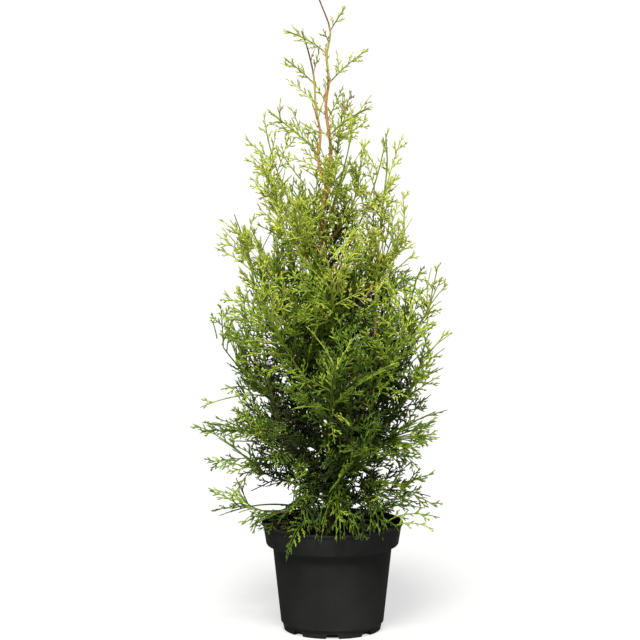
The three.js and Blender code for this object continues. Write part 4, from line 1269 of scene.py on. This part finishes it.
def drain_cutters():
    """The wedges that cut the drain notches: narrower at the top, with rounded corners."""
    deep = DRAIN["outer_radius"] - DRAIN["inner_radius"]
    middle = (DRAIN["outer_radius"] + DRAIN["inner_radius"]) / 2
    cutters = []
    for i in range(DRAIN["count"]):
        select_only()
        bpy.ops.mesh.primitive_cube_add(size=1, location=(middle * MM, 0, 0))
        cutter = bpy.context.object
        cutter.scale = (deep * MM, DRAIN["foot"] * MM, 2 * DRAIN["height"] * MM)
        bpy.ops.object.transform_apply(location=True, rotation=True, scale=True)
        bpy.ops.object.mode_set(mode="EDIT")
        select_edges(lambda edge: all(vert.co.z > 0 for vert in edge.verts))
        narrow = DRAIN["top"] / DRAIN["foot"]
        bpy.ops.transform.resize(value=(1, narrow, 1))
        select_edges(lambda edge: all(vert.co.z > 0 for vert in edge.verts)
                     and abs(edge.verts[0].co.y - edge.verts[1].co.y) < MM)
        bpy.ops.mesh.bevel(offset=DRAIN["corner"] * MM, segments=3)
        bpy.ops.object.mode_set(mode="OBJECT")
        cutter.rotation_euler = (0, 0, math.radians(270 + 360 * i / DRAIN["count"]))
        bpy.ops.object.transform_apply(location=True, rotation=True, scale=True)
        cutters.append(cutter)
    select_only(*cutters)
    bpy.ops.object.join()
    return bpy.context.object


def add_pot():
    profile = [(63.5, 0), (65, 0.9), (66.5, 9), (69, 12), (80, 114), (86, 116.4), (88.2, 117.6), (89, 119),
               (93, 143.4), (93.6, 144), (94.6, 144.2), (95, 144.8), (95, 146.2), (94.6, 146.8),
               (94, 147), (92.6, 147), (92.1, 146.7), (91.3, 144), (87.2, 119), (78.2, 115.8), (67.2, 12),
               (63.2, 3)]
    pot = raised_shell("nursery_pot", profile, 144)
    cutters = drain_cutters()
    select_only(pot)
    notches = pot.modifiers.new("drain notches", "BOOLEAN")
    notches.operation = "DIFFERENCE"
    notches.solver = "EXACT"
    notches.object = cutters
    bpy.ops.object.modifier_apply(modifier=notches.name)
    bpy.data.objects.remove(cutters, do_unlink=True)
    bpy.ops.object.shade_smooth_by_angle(angle=math.radians(28))
    pot.data.materials.append(pot_material())
    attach(pot, "root")
    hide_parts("pot")


BED = {"edge": 89.3, "height": 136.2, "mound": 2.6, "crumbs": 1100, "largest": 3.4, "smallest": 0.9,
       "lumpy_above": 130, "lumpy_within": 87, "clod": 9, "lift": 4.2}


def spun(a, b, angle):
    return a * np.cos(angle) - b * np.sin(angle), a * np.sin(angle) + b * np.cos(angle)


def crumb_parts():
    """Loose crumbs and fibres of peat on the bed: squashed eight-sided lumps of every size and turn."""
    rng = np.random.default_rng(11)
    n = BED["crumbs"]
    corners = np.array([(1, 0, 0), (0, 1, 0), (-1, 0, 0), (0, -1, 0), (0, 0, 1), (0, 0, -1)], float)
    faces = np.array([(0, 1, 4), (1, 2, 4), (2, 3, 4), (3, 0, 4), (1, 0, 5), (2, 1, 5), (3, 2, 5), (0, 3, 5)])
    size = mix(BED["smallest"], BED["largest"], rng.random(n) ** 2.5)
    stretch = np.stack([size * rng.uniform(0.8, 1.9, n), size * rng.uniform(0.5, 1, n),
                        size * rng.uniform(0.4, 0.8, n)], axis=1)
    lumps = corners[None] * stretch[:, None] * rng.uniform(0.75, 1.25, (n, 6, 1))
    heading, roll = rng.uniform(0, 2 * math.pi, n), rng.uniform(-0.5, 0.5, n)
    x, y, z = np.moveaxis(lumps, -1, 0)
    y, z = spun(y, z, roll[:, None])
    x, y = spun(x, y, heading[:, None])
    way, out = rng.uniform(0, 2 * math.pi, n), np.sqrt(rng.uniform(0.01, 0.93, n)) * BED["edge"]
    verts = np.stack([x + (out * np.cos(way))[:, None], y + (out * np.sin(way))[:, None],
                      z + bed_height(out)[:, None]], axis=-1)
    starts = (np.arange(n) * 6)[:, None, None]
    slots = np.repeat(rng.random(n) < 0.3, 8).astype(int)
    return verts.reshape(-1, 3), (faces[None] + starts).reshape(-1, 3), slots


def bed_height(radius):
    """The compost's height: a low mound round the stem."""
    return BED["height"] + BED["mound"] * np.cos(np.clip(radius / BED["edge"], 0, 1) * math.pi / 2)


def add_compost():
    rings = [(88, 136.3)] + [(r, float(bed_height(r))) for r in (82, 74, 66, 58, 50, 42, 34, 26, 18, 10)]
    profile = [(60, 8), (66, 13), (77, 116), (86.5, 119.5), (89.3, 136.2)] + rings
    bed = raised_shell("compost_bed", profile, 96)
    top = bed.vertex_groups.new(name="top")
    top.add([v.index for v in bed.data.vertices if v.co.z > BED["lumpy_above"] * MM
             and math.hypot(v.co.x, v.co.y) < BED["lumpy_within"] * MM], 1, "REPLACE")
    clods = bpy.data.textures.new("clods", "CLOUDS")
    clods.noise_scale = BED["clod"] * MM
    lumpy = bed.modifiers.new("lumpy top", "DISPLACE")
    lumpy.texture = clods
    lumpy.vertex_group = "top"
    lumpy.direction = "Z"
    lumpy.strength = BED["lift"] * MM
    bpy.ops.object.modifier_apply(modifier=lumpy.name)
    bpy.ops.object.shade_smooth_by_angle(angle=math.radians(50))
    peat = compost_material("moist peat compost", "1a100b", "43291a")
    bed.data.materials.append(peat)
    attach(bed, "root")
    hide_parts("compost")
    crumbs = mesh_from("compost_crumbs", [crumb_parts()],
                       [peat, compost_material("red-brown peat fibre", "3a1c10", "6b3a22")])
    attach(crumbs, "root")


# ---- Studio ------------------------------------------------------

PIXEL = 1.332 * MM  # at the stem's distance
VIEW_CENTRE = (-0.0166, 0.0, 0.4207)
VIEW_RISE = 9.0
VIEW_DISTANCE = 5.5
SENSOR = 36.0


def add_camera():
    data = bpy.data.cameras.new("camera")
    camera = bpy.data.objects.new("camera", data)
    bpy.context.scene.collection.objects.link(camera)
    rise = math.radians(VIEW_RISE)
    camera.location = (VIEW_CENTRE[0], -VIEW_DISTANCE * math.cos(rise),
                       VIEW_CENTRE[2] + VIEW_DISTANCE * math.sin(rise))
    camera.rotation_euler = (math.pi / 2 - rise, 0, 0)
    data.sensor_width = SENSOR
    data.lens = SENSOR * VIEW_DISTANCE / (640 * PIXEL)
    data.clip_end = 100
    bpy.context.scene.camera = camera


def add_sun(name, heading, rise, strength, spread, colour):
    """A broad soft light from a heading and height."""
    data = bpy.data.lights.new(name, "SUN")
    data.energy = strength
    data.angle = math.radians(spread)
    data.color = colour
    light = bpy.data.objects.new(name, data)
    light.rotation_euler = (math.radians(90 - rise), 0, math.radians(heading + 90))
    bpy.context.scene.collection.objects.link(light)


def add_studio():
    world = bpy.data.worlds.new("soft white room")
    world.use_nodes = True
    world.node_tree.nodes["Background"].inputs["Color"].default_value = (1, 1, 1, 1)
    world.node_tree.nodes["Background"].inputs["Strength"].default_value = 0.03
    bpy.context.scene.world = world
    select_only()
    bpy.ops.mesh.primitive_plane_add(size=80, location=(0, 0, 0))
    floor = bpy.context.object
    floor.name = "floor"
    material, tree, shader = new_material("matt white paper")
    shader.inputs["Base Color"].default_value = (0.18, 0.18, 0.18, 1)
    shader.inputs["Roughness"].default_value = 0.9
    shader.inputs["Emission Color"].default_value = (1, 1, 1, 1)
    shader.inputs["Emission Strength"].default_value = 0.68
    floor.data.materials.append(material)
    add_sun("key", -96, 58, 7.0, 18, (1.0, 0.99, 0.96))
    add_sun("fill", -84, 16, 0.5, 40, (0.98, 0.99, 1.0))
    bpy.context.scene.view_settings.view_transform = "Standard"


plan = crown_plan()
add_camera()
add_studio()
add_pot()
add_compost()
add_limbs(plan)
add_foliage(plan)
